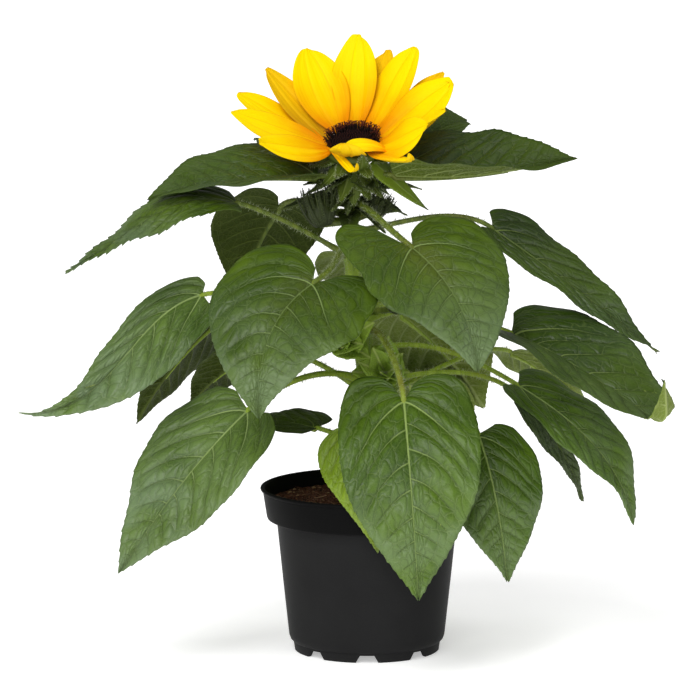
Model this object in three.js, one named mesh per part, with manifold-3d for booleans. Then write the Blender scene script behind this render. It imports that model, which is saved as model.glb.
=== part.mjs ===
// A dwarf sunflower in its nursery pot: a moulded plastic pot filled with peat, one stem,
// heart-shaped leaves on their stalks, three closed buds, two young shoots, and the open flower
// head with its bracts, ray petals and dark disc.
// Millimetres, +Z up. The origin is the centre of the pot's underside, and -Y is the plant's front.
import * as THREE from "three";
import { mergeVertices } from "three/addons/utils/BufferGeometryUtils.js";
import Module from "manifold-3d";

const wasm = await Module();
wasm.setup();

// The driving dimensions.
const POT_DIAMETER = 120;
const POT_HEIGHT = 93;
const WALL = 1.3;
const CLEAR = 0.3; // the gap left between two pieces that touch
const SOIL_BELOW_RIM = 10;
const STEM_RADIUS = { foot: 5.6, middle: 4.6, top: 3.6 };

const COLOURS = {
  pot: { color: 0x1b1c1c, roughness: 0.55, metalness: 0 },
  soil: { color: 0x2a1a12, roughness: 1, metalness: 0 },
  stem: { color: 0x7f9a3a, roughness: 0.7, metalness: 0 },
  leaf: { color: 0x3c6b25, roughness: 0.5, metalness: 0 },
  bud: { color: 0x3a4f2a, roughness: 0.8, metalness: 0 },
  bract: { color: 0x5b7f2c, roughness: 0.7, metalness: 0 },
  petal: { color: 0xffcf05, roughness: 0.5, metalness: 0 },
  disc: { color: 0x2b160e, roughness: 0.9, metalness: 0 },
};

const radians = THREE.MathUtils.degToRad;
const vec = (point) => new THREE.Vector3(...point);

// A unit direction from its compass angle, counter-clockwise from +X, and its elevation, both in degrees.
function heading(azimuth, elevation) {
  const a = radians(azimuth);
  const e = radians(elevation);
  return new THREE.Vector3(Math.cos(a) * Math.cos(e), Math.sin(a) * Math.cos(e), Math.sin(e));
}

// The part of a direction that is square to an axis, as a unit vector.
const squareTo = (direction, axis) =>
  direction.clone().addScaledVector(axis, -direction.dot(axis)).normalize();

// Solids: from three.js geometry to manifold-3d and back.

function solidOf(geometry) {
  const bare = geometry.index ? geometry.toNonIndexed() : geometry.clone();
  bare.deleteAttribute("normal");
  bare.deleteAttribute("uv");
  const merged = mergeVertices(bare, 1e-4);
  const index = [];
  for (let i = 0; i < merged.index.count; i += 3) {
    const [a, b, c] = [0, 1, 2].map((k) => merged.index.getX(i + k));
    if (a !== b && b !== c && a !== c) index.push(a, b, c);
  }
  const vertProperties = new Float32Array(merged.attributes.position.array);
  const triVerts = new Uint32Array(index);
  return new wasm.Manifold(new wasm.Mesh({ numProp: 3, vertProperties, triVerts }));
}

function geometryOf(solid) {
  const mesh = solid.getMesh();
  const geometry = new THREE.BufferGeometry();
  const points = new Float32Array(mesh.numVert * 3);
  for (let i = 0; i < mesh.numVert; i++) {
    points.set(mesh.vertProperties.subarray(i * mesh.numProp, i * mesh.numProp + 3), i * 3);
  }
  geometry.setAttribute("position", new THREE.BufferAttribute(points, 3));
  geometry.setIndex(new THREE.BufferAttribute(new Uint32Array(mesh.triVerts), 1));
  geometry.computeVertexNormals();
  return geometry;
}

// The largest connected piece of a solid, so that a cut leaves no scraps.
function largestPiece(solid) {
  const pieces = solid.decompose();
  return pieces.reduce((best, piece) => (piece.volume() > best.volume() ? piece : best));
}

const RIGHT = new THREE.Vector3(1, 0, 0);
const UPWARD = new THREE.Vector3(0, 0, 1);
const STEEP = 0.9; // a limb whose direction rises more than this is measured from the right, not from up

// A round, tapering limb along a list of points: radiusAt(share) is its radius, and both ends are
// closed.
function limbSolid(points, radiusAt, sides) {
  const rings = points.map((point, i) => {
    const before = points[Math.max(i - 1, 0)];
    const after = points[Math.min(i + 1, points.length - 1)];
    const along = after.clone().sub(before).normalize();
    const across = squareTo(Math.abs(along.z) > STEEP ? RIGHT : UPWARD, along);
    const third = along.clone().cross(across);
    const radius = radiusAt(i / (points.length - 1));
    return Array.from({ length: sides }, (_, k) => {
      const turn = (2 * Math.PI * k) / sides;
      return point
        .clone()
        .addScaledVector(across, radius * Math.cos(turn))
        .addScaledVector(third, radius * Math.sin(turn));
    });
  });
  const corners = [];
  const face = (...list) => list.forEach((p) => corners.push(p.x, p.y, p.z));
  rings.slice(1).forEach((ring, i) => {
    ring.forEach((corner, k) => {
      const next = (k + 1) % sides;
      face(rings[i][k], rings[i][next], ring[next]);
      face(rings[i][k], ring[next], corner);
    });
  });
  const [first, last] = [rings[0], rings[rings.length - 1]];
  for (let k = 1; k < sides - 1; k++) {
    face(first[0], first[k + 1], first[k]);
    face(last[0], last[k], last[k + 1]);
  }
  const geometry = new THREE.BufferGeometry();
  geometry.setAttribute("position", new THREE.Float32BufferAttribute(corners, 3));
  return solidOf(geometry);
}

// A solid turned about +Z from its profile of radii and heights.
function lathe(profile, sides) {
  const points = profile.map(([r, z]) => new THREE.Vector2(r, z));
  return solidOf(new THREE.LatheGeometry(points, sides).rotateX(Math.PI / 2));
}

// A blade: leaf, bract or petal. Its outline is given as one half, in shares of that half's width
// and of the length, from the joint with the stalk, round the basal lobe, to the tip. The blade is
// a thin plate bent along its midrib.

const LEAF_OUTLINE = [
  [0, 0],
  [0.36, -0.12],
  [0.74, -0.09],
  [0.96, 0.08],
  [1, 0.26],
  [0.9, 0.45],
  [0.68, 0.63],
  [0.4, 0.8],
  [0.16, 0.92],
  [0, 1],
];
const PETAL_OUTLINE = [
  [0, 0],
  [0.28, 0.02],
  [0.72, 0.22],
  [1, 0.5],
  [0.86, 0.76],
  [0.44, 0.94],
  [0, 1],
];
const BRACT_OUTLINE = [
  [0, 0],
  [0.9, 0.06],
  [0.8, 0.4],
  [0, 1],
];

const FOLD_FADE = 0.35; // how much of the fold between the halves is gone at the tip
const RIB_LAG = 0.25; // how far the rows lie back at the midrib, as the side veins run forwards
const EDGE_THINNING = 0.5; // how much of the thickness is gone at the margin

// A size that is the same on both halves is given once, and otherwise as a pair. The first half is
// the one on the right of someone who walks on the upper face from base to tip.
const pair = (value) => (Array.isArray(value) ? value : [value, value]);

// A blade's facing is given as a compass angle and an elevation, or as a direction.
const facingOf = (face) => (face.isVector3 ? face : heading(...face));

// The curve that a blade's midrib follows, from base to tip. bow pushes its two inner control
// points towards the upper face, and sway pushes them sideways, in millimetres.
function midribOf({ base, tip, face, bow = [0, 0], sway = [0, 0] }) {
  const [start, end] = [vec(base), vec(tip)];
  const chord = end.clone().sub(start);
  const along = chord.clone().normalize();
  const up = squareTo(facingOf(face), along);
  const side = along.clone().cross(up);
  const inner = [0, 1].map((i) =>
    start
      .clone()
      .addScaledVector(chord, (i + 1) / 3)
      .addScaledVector(up, bow[i])
      .addScaledVector(side, sway[i]),
  );
  return new THREE.CubicBezierCurve3(start, inner[0], inner[1], end);
}

// Gives the point of a bent blade for a place on the flat one: x across and y along, in
// millimetres, and how far the point lies above the blade's middle surface. fold lifts both halves
// in degrees, roll and twist turn the blade about its midrib, and droop lowers the margins.
function bladeBend(spec) {
  const { face, width, fold = 0, roll = 0, twist = 0, droop = 0 } = spec;
  const midrib = midribOf(spec);
  const length = midrib.getLength();
  const facing = facingOf(face);
  const bend = (x, y, above) => {
    const share = THREE.MathUtils.clamp(y / length, 0, 1);
    const along = midrib.getTangentAt(share);
    const turn = radians(roll + twist * share);
    const up = squareTo(facing, along).applyAxisAngle(along, turn);
    const side = along.clone().cross(up);
    const out = Math.abs(x) / pair(width)[x > 0 ? 0 : 1];
    const lift = radians(fold) * (1 - FOLD_FADE * share);
    return midrib
      .getPointAt(share)
      .addScaledVector(along, Math.min(y, 0))
      .addScaledVector(side, x * Math.cos(lift))
      .addScaledVector(up, Math.abs(x) * Math.sin(lift) - droop * out * out + above);
  };
  return { bend, length };
}

// lobe stretches the part of the outline that lies behind the joint, and belly moves the widest
// part towards the tip.
function bladeSolid(spec, outline, columns, thickness) {
  const { bend, length } = bladeBend(spec);
  const { width, lobe = 1, belly = 0 } = spec;
  const point = (row, share, side) => {
    const [across, along] = outline[row];
    const half = share > 0 ? 0 : 1;
    const ahead = Math.max(0, along);
    const rib = ahead * (1 - RIB_LAG * Math.sin(Math.PI * ahead));
    const swollen = along + belly * Math.sin(Math.PI * along);
    const edge = along < 0 ? along * pair(lobe)[half] : swollen;
    const out = Math.abs(share);
    const above = (thickness / 2) * (1 - EDGE_THINNING * out) * side;
    return bend(across * share * pair(width)[half], (rib + (edge - rib) * out) * length, above);
  };
  const shares = Array.from({ length: 2 * columns + 1 }, (_, i) => i / columns - 1);
  const corners = [];
  const face = (...list) => list.forEach((p) => corners.push(p.x, p.y, p.z));
  const quad = (a, b, c, d) => {
    face(a, b, c);
    face(a, c, d);
  };
  for (let row = 0; row < outline.length - 1; row++) {
    const next = row + 1;
    for (let i = 0; i < shares.length - 1; i++) {
      const [left, right] = [shares[i], shares[i + 1]];
      quad(point(row, left, 1), point(row, right, 1), point(next, right, 1), point(next, left, 1));
      quad(point(row, right, -1), point(row, left, -1), point(next, left, -1), point(next, right, -1));
    }
    quad(point(row, 1, 1), point(row, 1, -1), point(next, 1, -1), point(next, 1, 1));
    quad(point(row, -1, -1), point(row, -1, 1), point(next, -1, 1), point(next, -1, -1));
  }
  const geometry = new THREE.BufferGeometry();
  geometry.setAttribute("position", new THREE.Float32BufferAttribute(corners, 3));
  return solidOf(geometry);
}

// The pot: a tapered wall with a deep collar, a raised floor on a notched foot ring, and a round
// pad in the middle of the underside.

const POT = {
  collarHeight: 18,
  collarFoot: POT_DIAMETER / 2 - 3.7,
  lipDepth: 1.6, // the rounded lip stands out round the rim
  lipProud: 1.3,
  bodyTop: 50.9,
  bodyFoot: 43.9,
  bodyFootHeight: 9.6,
  footRing: 41,
  footDraft: 0.6,
  footTuck: 1.2, // the body draws in above the foot ring
  floor: 4.4,
  floorRound: 1.5,
  padRadius: 11,
  ringWidth: 3,
  notches: 8,
  notch: { wide: 13, narrow: 8, high: 4.2 },
  drainRadius: 3.5,
  drainCircle: 27,
  drainSides: 6,
  sides: 32,
};
const soilTop = POT_HEIGHT - SOIL_BELOW_RIM;

function potSolid() {
  const rim = POT_DIAMETER / 2;
  const step = POT_HEIGHT - POT.collarHeight;
  const wall = [
    [0, 0],
    [POT.padRadius, 0],
    [POT.padRadius, POT.floor],
    [POT.footRing - POT.ringWidth, POT.floor],
    [POT.footRing - POT.ringWidth, 0],
    [POT.footRing, 0],
    [POT.footRing + POT.footDraft, POT.floor + 1],
    [POT.bodyFoot - POT.footTuck, POT.floor + 1.4],
    [POT.bodyFoot, POT.bodyFootHeight],
    [POT.bodyTop, step],
    [POT.collarFoot, step],
    [rim - POT.lipProud, POT_HEIGHT - POT.lipDepth - 0.4],
    [rim, POT_HEIGHT - POT.lipDepth],
    [rim, POT_HEIGHT],
    [rim - POT.lipProud - WALL, POT_HEIGHT],
    [POT.collarFoot - WALL, step + WALL],
    [POT.bodyTop - WALL, step + WALL],
    [POT.bodyFoot - WALL, POT.bodyFootHeight],
    [POT.bodyFoot - WALL - POT.floorRound, POT.floor + WALL],
    [0, POT.floor + WALL],
    [0, 0],
  ];
  let pot = lathe(wall, POT.sides);
  const { wide, narrow, high } = POT.notch;
  const gap = new THREE.Shape(
    [
      [-wide / 2, -1],
      [wide / 2, -1],
      [narrow / 2, high],
      [-narrow / 2, high],
    ].map(([x, y]) => new THREE.Vector2(x, y)),
  );
  for (let i = 0; i < POT.notches; i++) {
    const turn = (2 * Math.PI * i) / POT.notches;
    const cut = new THREE.ExtrudeGeometry(gap, { depth: POT.ringWidth + 4, bevelEnabled: false })
      .rotateX(Math.PI / 2)
      .translate(0, POT.footRing + 2, 0)
      .rotateZ(turn);
    const { drainRadius, drainSides } = POT;
    const drain = new THREE.CylinderGeometry(drainRadius, drainRadius, 6 * WALL, drainSides)
      .rotateX(Math.PI / 2)
      .translate(0, POT.drainCircle, POT.floor)
      .rotateZ(turn + Math.PI / POT.notches);
    pot = pot.subtract(solidOf(cut)).subtract(solidOf(drain));
  }
  return pot;
}

// The peat that fills the pot up to a little below its rim, with a flat top that the stem stands on.
function soilSolid() {
  const step = POT_HEIGHT - POT.collarHeight;
  const inside = WALL + CLEAR + 0.1;
  const floor = POT.floor + WALL + CLEAR;
  const ledge = step + WALL + CLEAR;
  const profile = [
    [0, floor],
    [POT.bodyFoot - inside - POT.floorRound - 0.5, floor],
    [POT.bodyFoot - inside, POT.bodyFootHeight + 0.6],
    [POT.bodyTop - inside, ledge],
    [POT.collarFoot - inside, ledge + 0.2],
    [POT.collarFoot - inside + 1, soilTop],
    [0, soilTop],
    [0, floor],
  ];
  return lathe(profile, POT.sides);
}

// The flower head's own frame: its axis leans towards the front. A place on it is a radius, a turn
// about the axis in degrees, counter-clockwise from the plant's right, and a height above the
// middle of the disc's foot.

const HEAD = { middle: [-8, -2, 287], azimuth: -100, elevation: 68 };
const CALYX = { depth: 16, neck: 4.4, waist: 13.2, rim: 16.4, top: 12.8, bractFoot: [10.7, -7.5] };
const headAxis = heading(HEAD.azimuth, HEAD.elevation);
const headRight = squareTo(RIGHT, headAxis);
const headBack = headAxis.clone().cross(headRight);

const headOut = (turn) =>
  headRight
    .clone()
    .multiplyScalar(Math.cos(radians(turn)))
    .addScaledVector(headBack, Math.sin(radians(turn)));

function headPoint(radius, turn, height) {
  return vec(HEAD.middle).addScaledVector(headOut(turn), radius).addScaledVector(headAxis, height);
}

// A blade on the head: it starts at base, points away from the axis at a turn, and rises from the
// plane of the disc by an angle, with its upper face towards the axis.
function headBlade(base, turn, rise, length) {
  const out = headOut(turn);
  const lift = radians(rise);
  const [flat, steep] = [Math.cos(lift), Math.sin(lift)];
  const along = out.clone().multiplyScalar(flat).addScaledVector(headAxis, steep);
  const face = out.clone().multiplyScalar(-steep).addScaledVector(headAxis, flat);
  const tip = base.clone().addScaledVector(along, length);
  return { base: base.toArray(), tip: tip.toArray(), face };
}

// The stem: a little sinuous, from a flat cut at soil level to the flower head.

const STEM_WAY = [
  [0, 0, soilTop + CLEAR],
  [0, 0, soilTop + 14],
  [0, 1, 122],
  [-1, 3, 153],
  [-3, 3, 187],
  [-8, 4, 215],
  [-9, 6, 236],
  [-8, 8, 258],
];
const stemEnd = headPoint(0, 0, -CALYX.depth - 2 * CLEAR);
const stemLine = new THREE.CatmullRomCurve3([...STEM_WAY.map(vec), stemEnd]);

// The stem's middle at a height.
function stemAt(height) {
  const foot = soilTop + CLEAR;
  const pointAt = (share) => stemLine.getPointAt(THREE.MathUtils.clamp(share, 0, 1));
  let share = (height - foot) / (stemEnd.z - foot);
  for (let i = 0; i < 6; i++) share += (height - pointAt(share).z) / (stemEnd.z - foot);
  return pointAt(share);
}

const STEM = { steps: 14, sides: 10, flare: 1.6, flareFade: 30 };

function stemRadius(share) {
  const { foot, middle, top } = STEM_RADIUS;
  const flare = STEM.flare * Math.exp(-share * STEM.flareFade);
  const lower = foot + (middle - foot) * share * 2;
  const upper = middle + (top - middle) * (share - 0.5) * 2;
  return flare + (share < 0.5 ? lower : upper);
}

// The stem, or the space kept free round it.
function stemSolid(extra = 0) {
  const { steps, sides } = STEM;
  const points = Array.from({ length: steps + 1 }, (_, i) => stemLine.getPointAt(i / steps));
  if (!extra) return limbSolid(points, stemRadius, sides);
  points[0].z -= 4;
  points[points.length - 1].z += 4;
  return limbSolid(points, (share) => stemRadius(share) + extra, sides);
}

// The leaves. node is the height on the stem where the stalk leaves it and rise its first slope in
// degrees, base is where the stalk meets the blade, tip is the blade's end, and face is the
// compass angle and elevation that the upper face looks to.

const LEAVES = {
  leaf_front_low: {
    node: 179, rise: 35, base: [20, -56, 152], tip: [28, -88, 45],
    face: [-88, 12], width: [43, 41], bow: [14, 12], droop: 5, fold: 8, lobe: 0.35, belly: 0.05,
  },
  leaf_front_pale: {
    node: 148, rise: 10, base: [-6, -42, 132], tip: [6, -72, 68],
    face: [-100, 15], width: 27, bow: [6, 6], droop: 3, fold: 6, lobe: 0.4,
  },
  leaf_front_left: {
    node: 232, rise: -10, base: [-29, -55, 217], tip: [-59, -95, 147],
    face: [-105, 38], width: [48, 40], bow: [14, 12], droop: 6, fold: 8, lobe: 1.7,
  },
  leaf_front_right: {
    node: 255, rise: -10, base: [24, -50, 236], tip: [60, -90, 172],
    face: [-72, 38], width: [37, 41], bow: [12, 10], sway: [-6, -8], droop: 6, fold: 6, lobe: [4, 1.4],
  },
  leaf_left_low: {
    node: 152, rise: 30, base: [-66, -25, 141], tip: [-138, -50, 52],
    face: [-115, 28], width: [32, 29], bow: [12, 8], droop: 4, fold: 8, lobe: -0.5, belly: 0.1,
  },
  leaf_left_middle: {
    node: 174, rise: 30, base: [-91, -20, 205], tip: [-194, -45, 143],
    face: [-100, 28], width: [20, 25], bow: [10, -4], sway: [12, -36], droop: 3, fold: 6, lobe: 0.3,
  },
  leaf_left_upper: {
    node: 222, rise: 32, base: [-72, -22, 257], tip: [-168, -35, 220],
    face: [-90, 72], width: [25, 24], bow: [36, 0], droop: 0, fold: -6, lobe: 0.3,
  },
  leaf_left_top: {
    node: 258, rise: 20, base: [-34, -10, 271], tip: [-122, -25, 258],
    face: [-90, 74], width: [29, 26], bow: [6, 8], droop: 0, fold: 22, lobe: 0.2, belly: 0.12,
  },
  leaf_right_top: {
    node: 262, rise: 15, base: [28, -3, 270], tip: [117, -10, 280],
    face: [-90, 82], width: [28, 38], bow: [-8, -8], droop: 0, fold: 34, lobe: 0.2, belly: 0.08,
  },
  leaf_right_upper: {
    node: 236, rise: 20, base: [76, 10, 236], tip: [164, 8, 167],
    face: [-30, 60], width: [36, 32], bow: [2, -2], droop: 3, fold: 6, lobe: 0.8,
  },
  leaf_right_middle: {
    node: 186, rise: 30, base: [80, -10, 182], tip: [170, -50, 153],
    face: [-50, 60], width: 38, bow: [5, -42], droop: 3, fold: 19, lobe: 0.6,
  },
  leaf_right_lower: {
    node: 168, rise: 25, base: [84, -5, 152], tip: [148, -35, 77],
    face: [-20, 50], width: [28, 38], bow: [12, 14], droop: 2, fold: 5, lobe: 0.4, belly: 0.12,
  },
  leaf_right_low: {
    node: 130, rise: 30, base: [62, -22, 127], tip: [78, -42, 46],
    face: [-65, 22], width: [27, 31], bow: [10, 6], droop: 4, fold: 6, lobe: 0.4, belly: 0.05,
  },
  leaf_right_narrow: {
    node: 150, rise: 15, base: [86, 14, 142], tip: [124, 36, 77],
    face: [20, 45], width: 21, bow: [6, 4], droop: 2, fold: 10, lobe: 0.2,
  },
  leaf_back_left_low: {
    node: 165, rise: 25, base: [-78, 45, 184], tip: [-124, 50, 120],
    face: [130, 40], width: 26, bow: [8, 6], droop: 3, fold: 10, lobe: 0.5,
  },
  leaf_back_left_under: {
    node: 146, rise: 30, base: [-62, 30, 164], tip: [-113, 46, 132],
    face: [120, 50], width: 25, bow: [6, 6], droop: 2, fold: 6, lobe: 0.4,
  },
  leaf_left_shaded: {
    node: 118, rise: 5, base: [-28, 14, 124], tip: [-98, 58, 114],
    face: [-120, 84], width: 23, bow: [8, 8], droop: 2, fold: 6, lobe: 0.2,
  },
  leaf_back_left_top: {
    node: 244, rise: 20, base: [-49, 34, 247], tip: [-72, 52, 190],
    face: [110, 24], width: 34, bow: [10, 6], droop: 3, fold: 6, lobe: 1.4,
  },
  leaf_back_right_middle: {
    node: 190, rise: 20, base: [19, 42, 185], tip: [68, 76, 124],
    face: [70, 35], width: 40, bow: [8, 8], droop: 4, fold: 6, lobe: 0.8,
  },
  leaf_back_right_top: {
    node: 256, rise: 40, base: [14, 32, 272], tip: [58, 94, 293],
    face: [-100, 70], width: 31, bow: [6, 8], droop: 2, fold: 10, lobe: 0.2,
  },
  leaf_back_left_tip: {
    node: 248, rise: 30, base: [-22, 30, 266], tip: [-65, 78, 281],
    face: [-80, 75], width: 25, bow: [6, 8], droop: 2, fold: 12, lobe: 0.2,
  },
  leaf_back_middle: {
    node: 212, rise: 25, base: [4, 60, 214], tip: [14, 120, 158],
    face: [85, 50], width: 36, bow: [12, 10], droop: 4, fold: 8, lobe: 1,
  },
  leaf_back_low: {
    node: 132, rise: 25, base: [24, 62, 146], tip: [34, 108, 74],
    face: [80, 30], width: 35, bow: [10, 10], droop: 4, fold: 8, lobe: 0.8,
  },
  leaf_back_left_middle: {
    node: 196, rise: 20, base: [-42, 66, 190], tip: [-70, 116, 134],
    face: [115, 45], width: 33, bow: [10, 8], droop: 3, fold: 8, lobe: 0.8,
  },
  leaf_back_right_low: {
    node: 142, rise: 10, base: [82, 50, 162], tip: [124, 84, 112],
    face: [45, 45], width: 27, bow: [10, 8], droop: 3, fold: 8, lobe: 0.6,
  },
};
const STALK = { stem: 3, middle: 1.9, blade: 1.6, slender: 0.85, sides: 5, step: 18 };
const SWELLING = 0.25; // the share of a stalk in which it tapers from its joint with the stem
const STALK_UNDER = [0.15, 0.38]; // the shares of the blade's length that the stalk runs on to
const UNDER_TAPER = 0.28; // how much of its radius a stalk loses at each of them
const WIDE_LEAF = 28; // a leaf whose half is wider than this has a full stalk
const LEAF_THICK = { least: 1.1, share: 0.0105 }; // the share is of the leaf's length

// The stalk from the stem to the blade, and on under the blade for a short way.
function stalkSolid(spec) {
  const { node, rise, base, width } = spec;
  const midrib = midribOf(spec);
  const from = stemAt(node);
  const to = vec(base);
  const reach = from.distanceTo(to);
  const away = to.clone().sub(from);
  const azimuth = THREE.MathUtils.radToDeg(Math.atan2(away.y, away.x));
  const arrive = midrib.getTangentAt(0);
  const path = new THREE.CubicBezierCurve3(
    from,
    from.clone().addScaledVector(heading(azimuth, rise), reach * 0.4),
    to.clone().addScaledVector(arrive, -reach * 0.3),
    to,
  );
  const steps = Math.max(4, Math.round(reach / STALK.step));
  const points = Array.from({ length: steps + 1 }, (_, i) => path.getPointAt(i / steps));
  const { bend, length } = bladeBend(spec);
  const under = STALK_UNDER.map((share) => bend(0, share * length, -0.4 - share));
  const total = steps + under.length;
  const radiusAt = (share) => {
    const { stem, middle, blade, slender } = STALK;
    const step = share * total;
    const along = step / steps;
    if (along > 1) return blade * (1 - UNDER_TAPER * (step - steps));
    const swollen = stem + ((middle - stem) * along) / SWELLING;
    const plain = middle + (blade - middle) * (along - SWELLING);
    return (pair(width)[0] > WIDE_LEAF ? 1 : slender) * (along < SWELLING ? swollen : plain);
  };
  return limbSolid([...points, ...under], radiusAt, STALK.sides);
}

function leafSolid(spec, stemSpace) {
  const thickness = Math.max(LEAF_THICK.least, LEAF_THICK.share * midribOf(spec).getLength());
  const blade = bladeSolid(spec, LEAF_OUTLINE, 2, thickness);
  return largestPiece(blade.add(stalkSolid(spec)).subtract(stemSpace));
}

// The ray petals, each with its turn about the head, its rise above the disc, its length and its
// two half widths. swing turns it away from straight out. The outer ones are set lower, outside
// the inner ones.

const PETALS = [
  { turn: 12, rise: 32, length: 54, width: [12, 11] },
  { turn: 48, rise: 40, length: 55, width: [10, 14] },
  { turn: 81, rise: 45, length: 56, width: [9, 14] },
  { turn: 114, rise: 42, length: 53, width: [13, 14] },
  { turn: 162, rise: 25, length: 60, width: 9, outer: true },
  { turn: 177, rise: 27, length: 53, width: [8, 12], roll: -15 },
  { turn: 210, rise: 24, length: 47, width: 9, roll: -28 },
  { turn: 224, rise: 0, length: 30, width: 3.5, swing: 76 },
  { turn: 256, rise: 50, length: 20, width: 7, swing: -20 },
  { turn: 285, rise: 62, length: 24, width: 9, bow: [-6, -4] },
  { turn: 305, rise: 16, length: 48, width: 5 },
  { turn: 328, rise: 33, length: 42, width: 9, roll: 22 },
  { turn: 353, rise: 34, length: 44, width: 9, outer: true },
  { turn: 34, rise: 30, length: 53, width: 9, outer: true },
  { turn: 69, rise: 37, length: 53, width: 10, outer: true },
  { turn: 99, rise: 32, length: 41, width: 8, outer: true },
  { turn: 141, rise: 37, length: 55, width: [10, 9], outer: true },
];
const PETAL_THICK = 0.8;
const WHORL = {
  inner: { radius: 15.2, height: 0.8 },
  outer: { radius: 16.6, height: -2.6 },
};

function petalSolid({ turn, rise, length, width, swing = 0, outer = false, bow = [-4, -2], roll = -6 }) {
  const { radius, height } = outer ? WHORL.outer : WHORL.inner;
  const place = headBlade(headPoint(radius, turn, height), turn + swing, rise, length);
  return bladeSolid({ ...place, width, bow, roll, fold: 8, droop: -1 }, PETAL_OUTLINE, 2, PETAL_THICK);
}

// Turns a solid made about +Z to the flower head's axis and place.
function ontoHead(solid) {
  const place = new THREE.Matrix4().makeBasis(headRight, headBack, headAxis);
  return solid.transform(place.setPosition(vec(HEAD.middle)).toArray());
}

// The dark disc, domed with a hollow in its middle.
function discSolid() {
  const profile = [
    [0, 0],
    [13.4, 0],
    [14.4, 1.6],
    [13.4, 4],
    [10, 5.4],
    [5, 4.6],
    [0, 4],
    [0, 0],
  ];
  return ontoHead(lathe(profile, 24));
}

// The pointed bracts round the calyx. half is half the width, and foot the radius and height on the
// head where a bract starts, when it isn't on the cup's side.

const BRACTS = [
  { turn: 272, rise: 58, length: 17, half: 5, foot: [12.6, -9] },
  { turn: 318, rise: -24, length: 45, half: 6, bow: -2 },
  { turn: 350, rise: 8, length: 18, half: 5 },
  { turn: 20, rise: -5, length: 24, half: 5.5 },
  { turn: 60, rise: -2, length: 24, half: 5.5 },
  { turn: 100, rise: 0, length: 25, half: 5.5 },
  { turn: 140, rise: -3, length: 24, half: 5.5 },
  { turn: 185, rise: -10, length: 24, half: 5.5 },
  { turn: 228, rise: -20, length: 22, half: 5 },
];

const BRACT_THICK = 1;

// The green calyx that holds the disc: a shallow cup with the bracts on it.
function calyxSolid() {
  const { depth, neck, waist, rim, top, bractFoot } = CALYX;
  const profile = [
    [0, -depth],
    [neck, -depth],
    [neck + 3, -depth + 4],
    [waist, -6.5],
    [rim, -3.3],
    [top, -CLEAR],
    [0, -CLEAR],
    [0, -depth],
  ];
  const cup = ontoHead(lathe(profile, 16));
  const bracts = BRACTS.map(({ turn, rise, length, half, foot = bractFoot, bow = -2.5 }) => {
    const place = headBlade(headPoint(foot[0], turn, foot[1]), turn, rise, length);
    return bladeSolid({ ...place, width: half, bow: [bow, bow] }, BRACT_OUTLINE, 1, BRACT_THICK);
  });
  return largestPiece(bracts.reduce((whole, bract) => whole.add(bract), cup));
}

// The closed flower buds, each with the height on the stem where its short stalk starts, the middle
// of its egg and the compass angle and elevation of its axis.

const BUDS = {
  bud_left: { node: 243, middle: [-26, -12, 250], axis: [150, 76], radius: 9, bracts: 6 },
  bud_right: { node: 246, middle: [6, 0, 251], axis: [-20, 60], radius: 6, bracts: 5 },
  bud_middle: { node: 192, middle: [17, -8, 198], axis: [-30, 60], radius: 6, bracts: 5 },
};

// The egg's profile and its bracts' places, in shares of the bud's radius.
const EGG = [
  [0, -0.95],
  [0.5, -0.8],
  [0.95, -0.1],
  [0.8, 0.5],
  [0, 0.95],
  [0, -0.95],
];
const BUD_BRACT = { footOut: 0.6, footUp: -0.4, tipOut: 1.15, tipUp: 1.5, half: 0.42 };
const BUD_STALK = 0.28;

// A bud: an egg with pointed bracts whose tips stand up round it, on its stalk.
function budSolid({ node, middle, axis, radius, bracts }) {
  const centre = vec(middle);
  const up = heading(...axis);
  const right = squareTo(RIGHT, up);
  const back = up.clone().cross(right);
  const place = new THREE.Matrix4().makeBasis(right, back, up).setPosition(centre);
  const profile = EGG.map(([r, z]) => [r * radius, z * radius]);
  let whole = lathe(profile, 8).transform(place.toArray());
  for (let i = 0; i < bracts; i++) {
    const turn = (2 * Math.PI * i) / bracts;
    const out = right.clone().multiplyScalar(Math.cos(turn)).addScaledVector(back, Math.sin(turn));
    const spot = (outward, upward) =>
      centre.clone().addScaledVector(out, radius * outward).addScaledVector(up, radius * upward);
    const spec = {
      base: spot(BUD_BRACT.footOut, BUD_BRACT.footUp).toArray(),
      tip: spot(BUD_BRACT.tipOut, BUD_BRACT.tipUp).toArray(),
      face: out.clone().negate(),
      width: radius * BUD_BRACT.half,
      bow: [-radius * 0.35, -radius * 0.2],
    };
    whole = whole.add(bladeSolid(spec, BRACT_OUTLINE, 1, BRACT_THICK));
  }
  const from = stemAt(node);
  const to = centre.clone().addScaledVector(up, -radius * 0.7);
  const bend = from.clone().lerp(to, 0.6).addScaledVector(up, -radius * 0.4);
  const path = new THREE.QuadraticBezierCurve3(from, bend, to);
  return whole.add(limbSolid(path.getPoints(3), () => radius * BUD_STALK, 5));
}

// The young shoots in the leaf axils, each with the joint and the tips of its small leaves.

const SHOOTS = {
  shoot_left: {
    node: 168, joint: [-13, -9, 176], tips: [[-20, -20, 190], [-26, -10, 176], [-14, -26, 176]],
  },
  shoot_right: {
    node: 150, joint: [10, -10, 158], tips: [[18, -20, 172], [24, -12, 160], [12, -24, 158]],
  },
};
const SHOOT_RADIUS = 1.7;
const SHOOT_LEAF_HALF = 0.28; // half a small leaf's width as a share of its length

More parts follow.
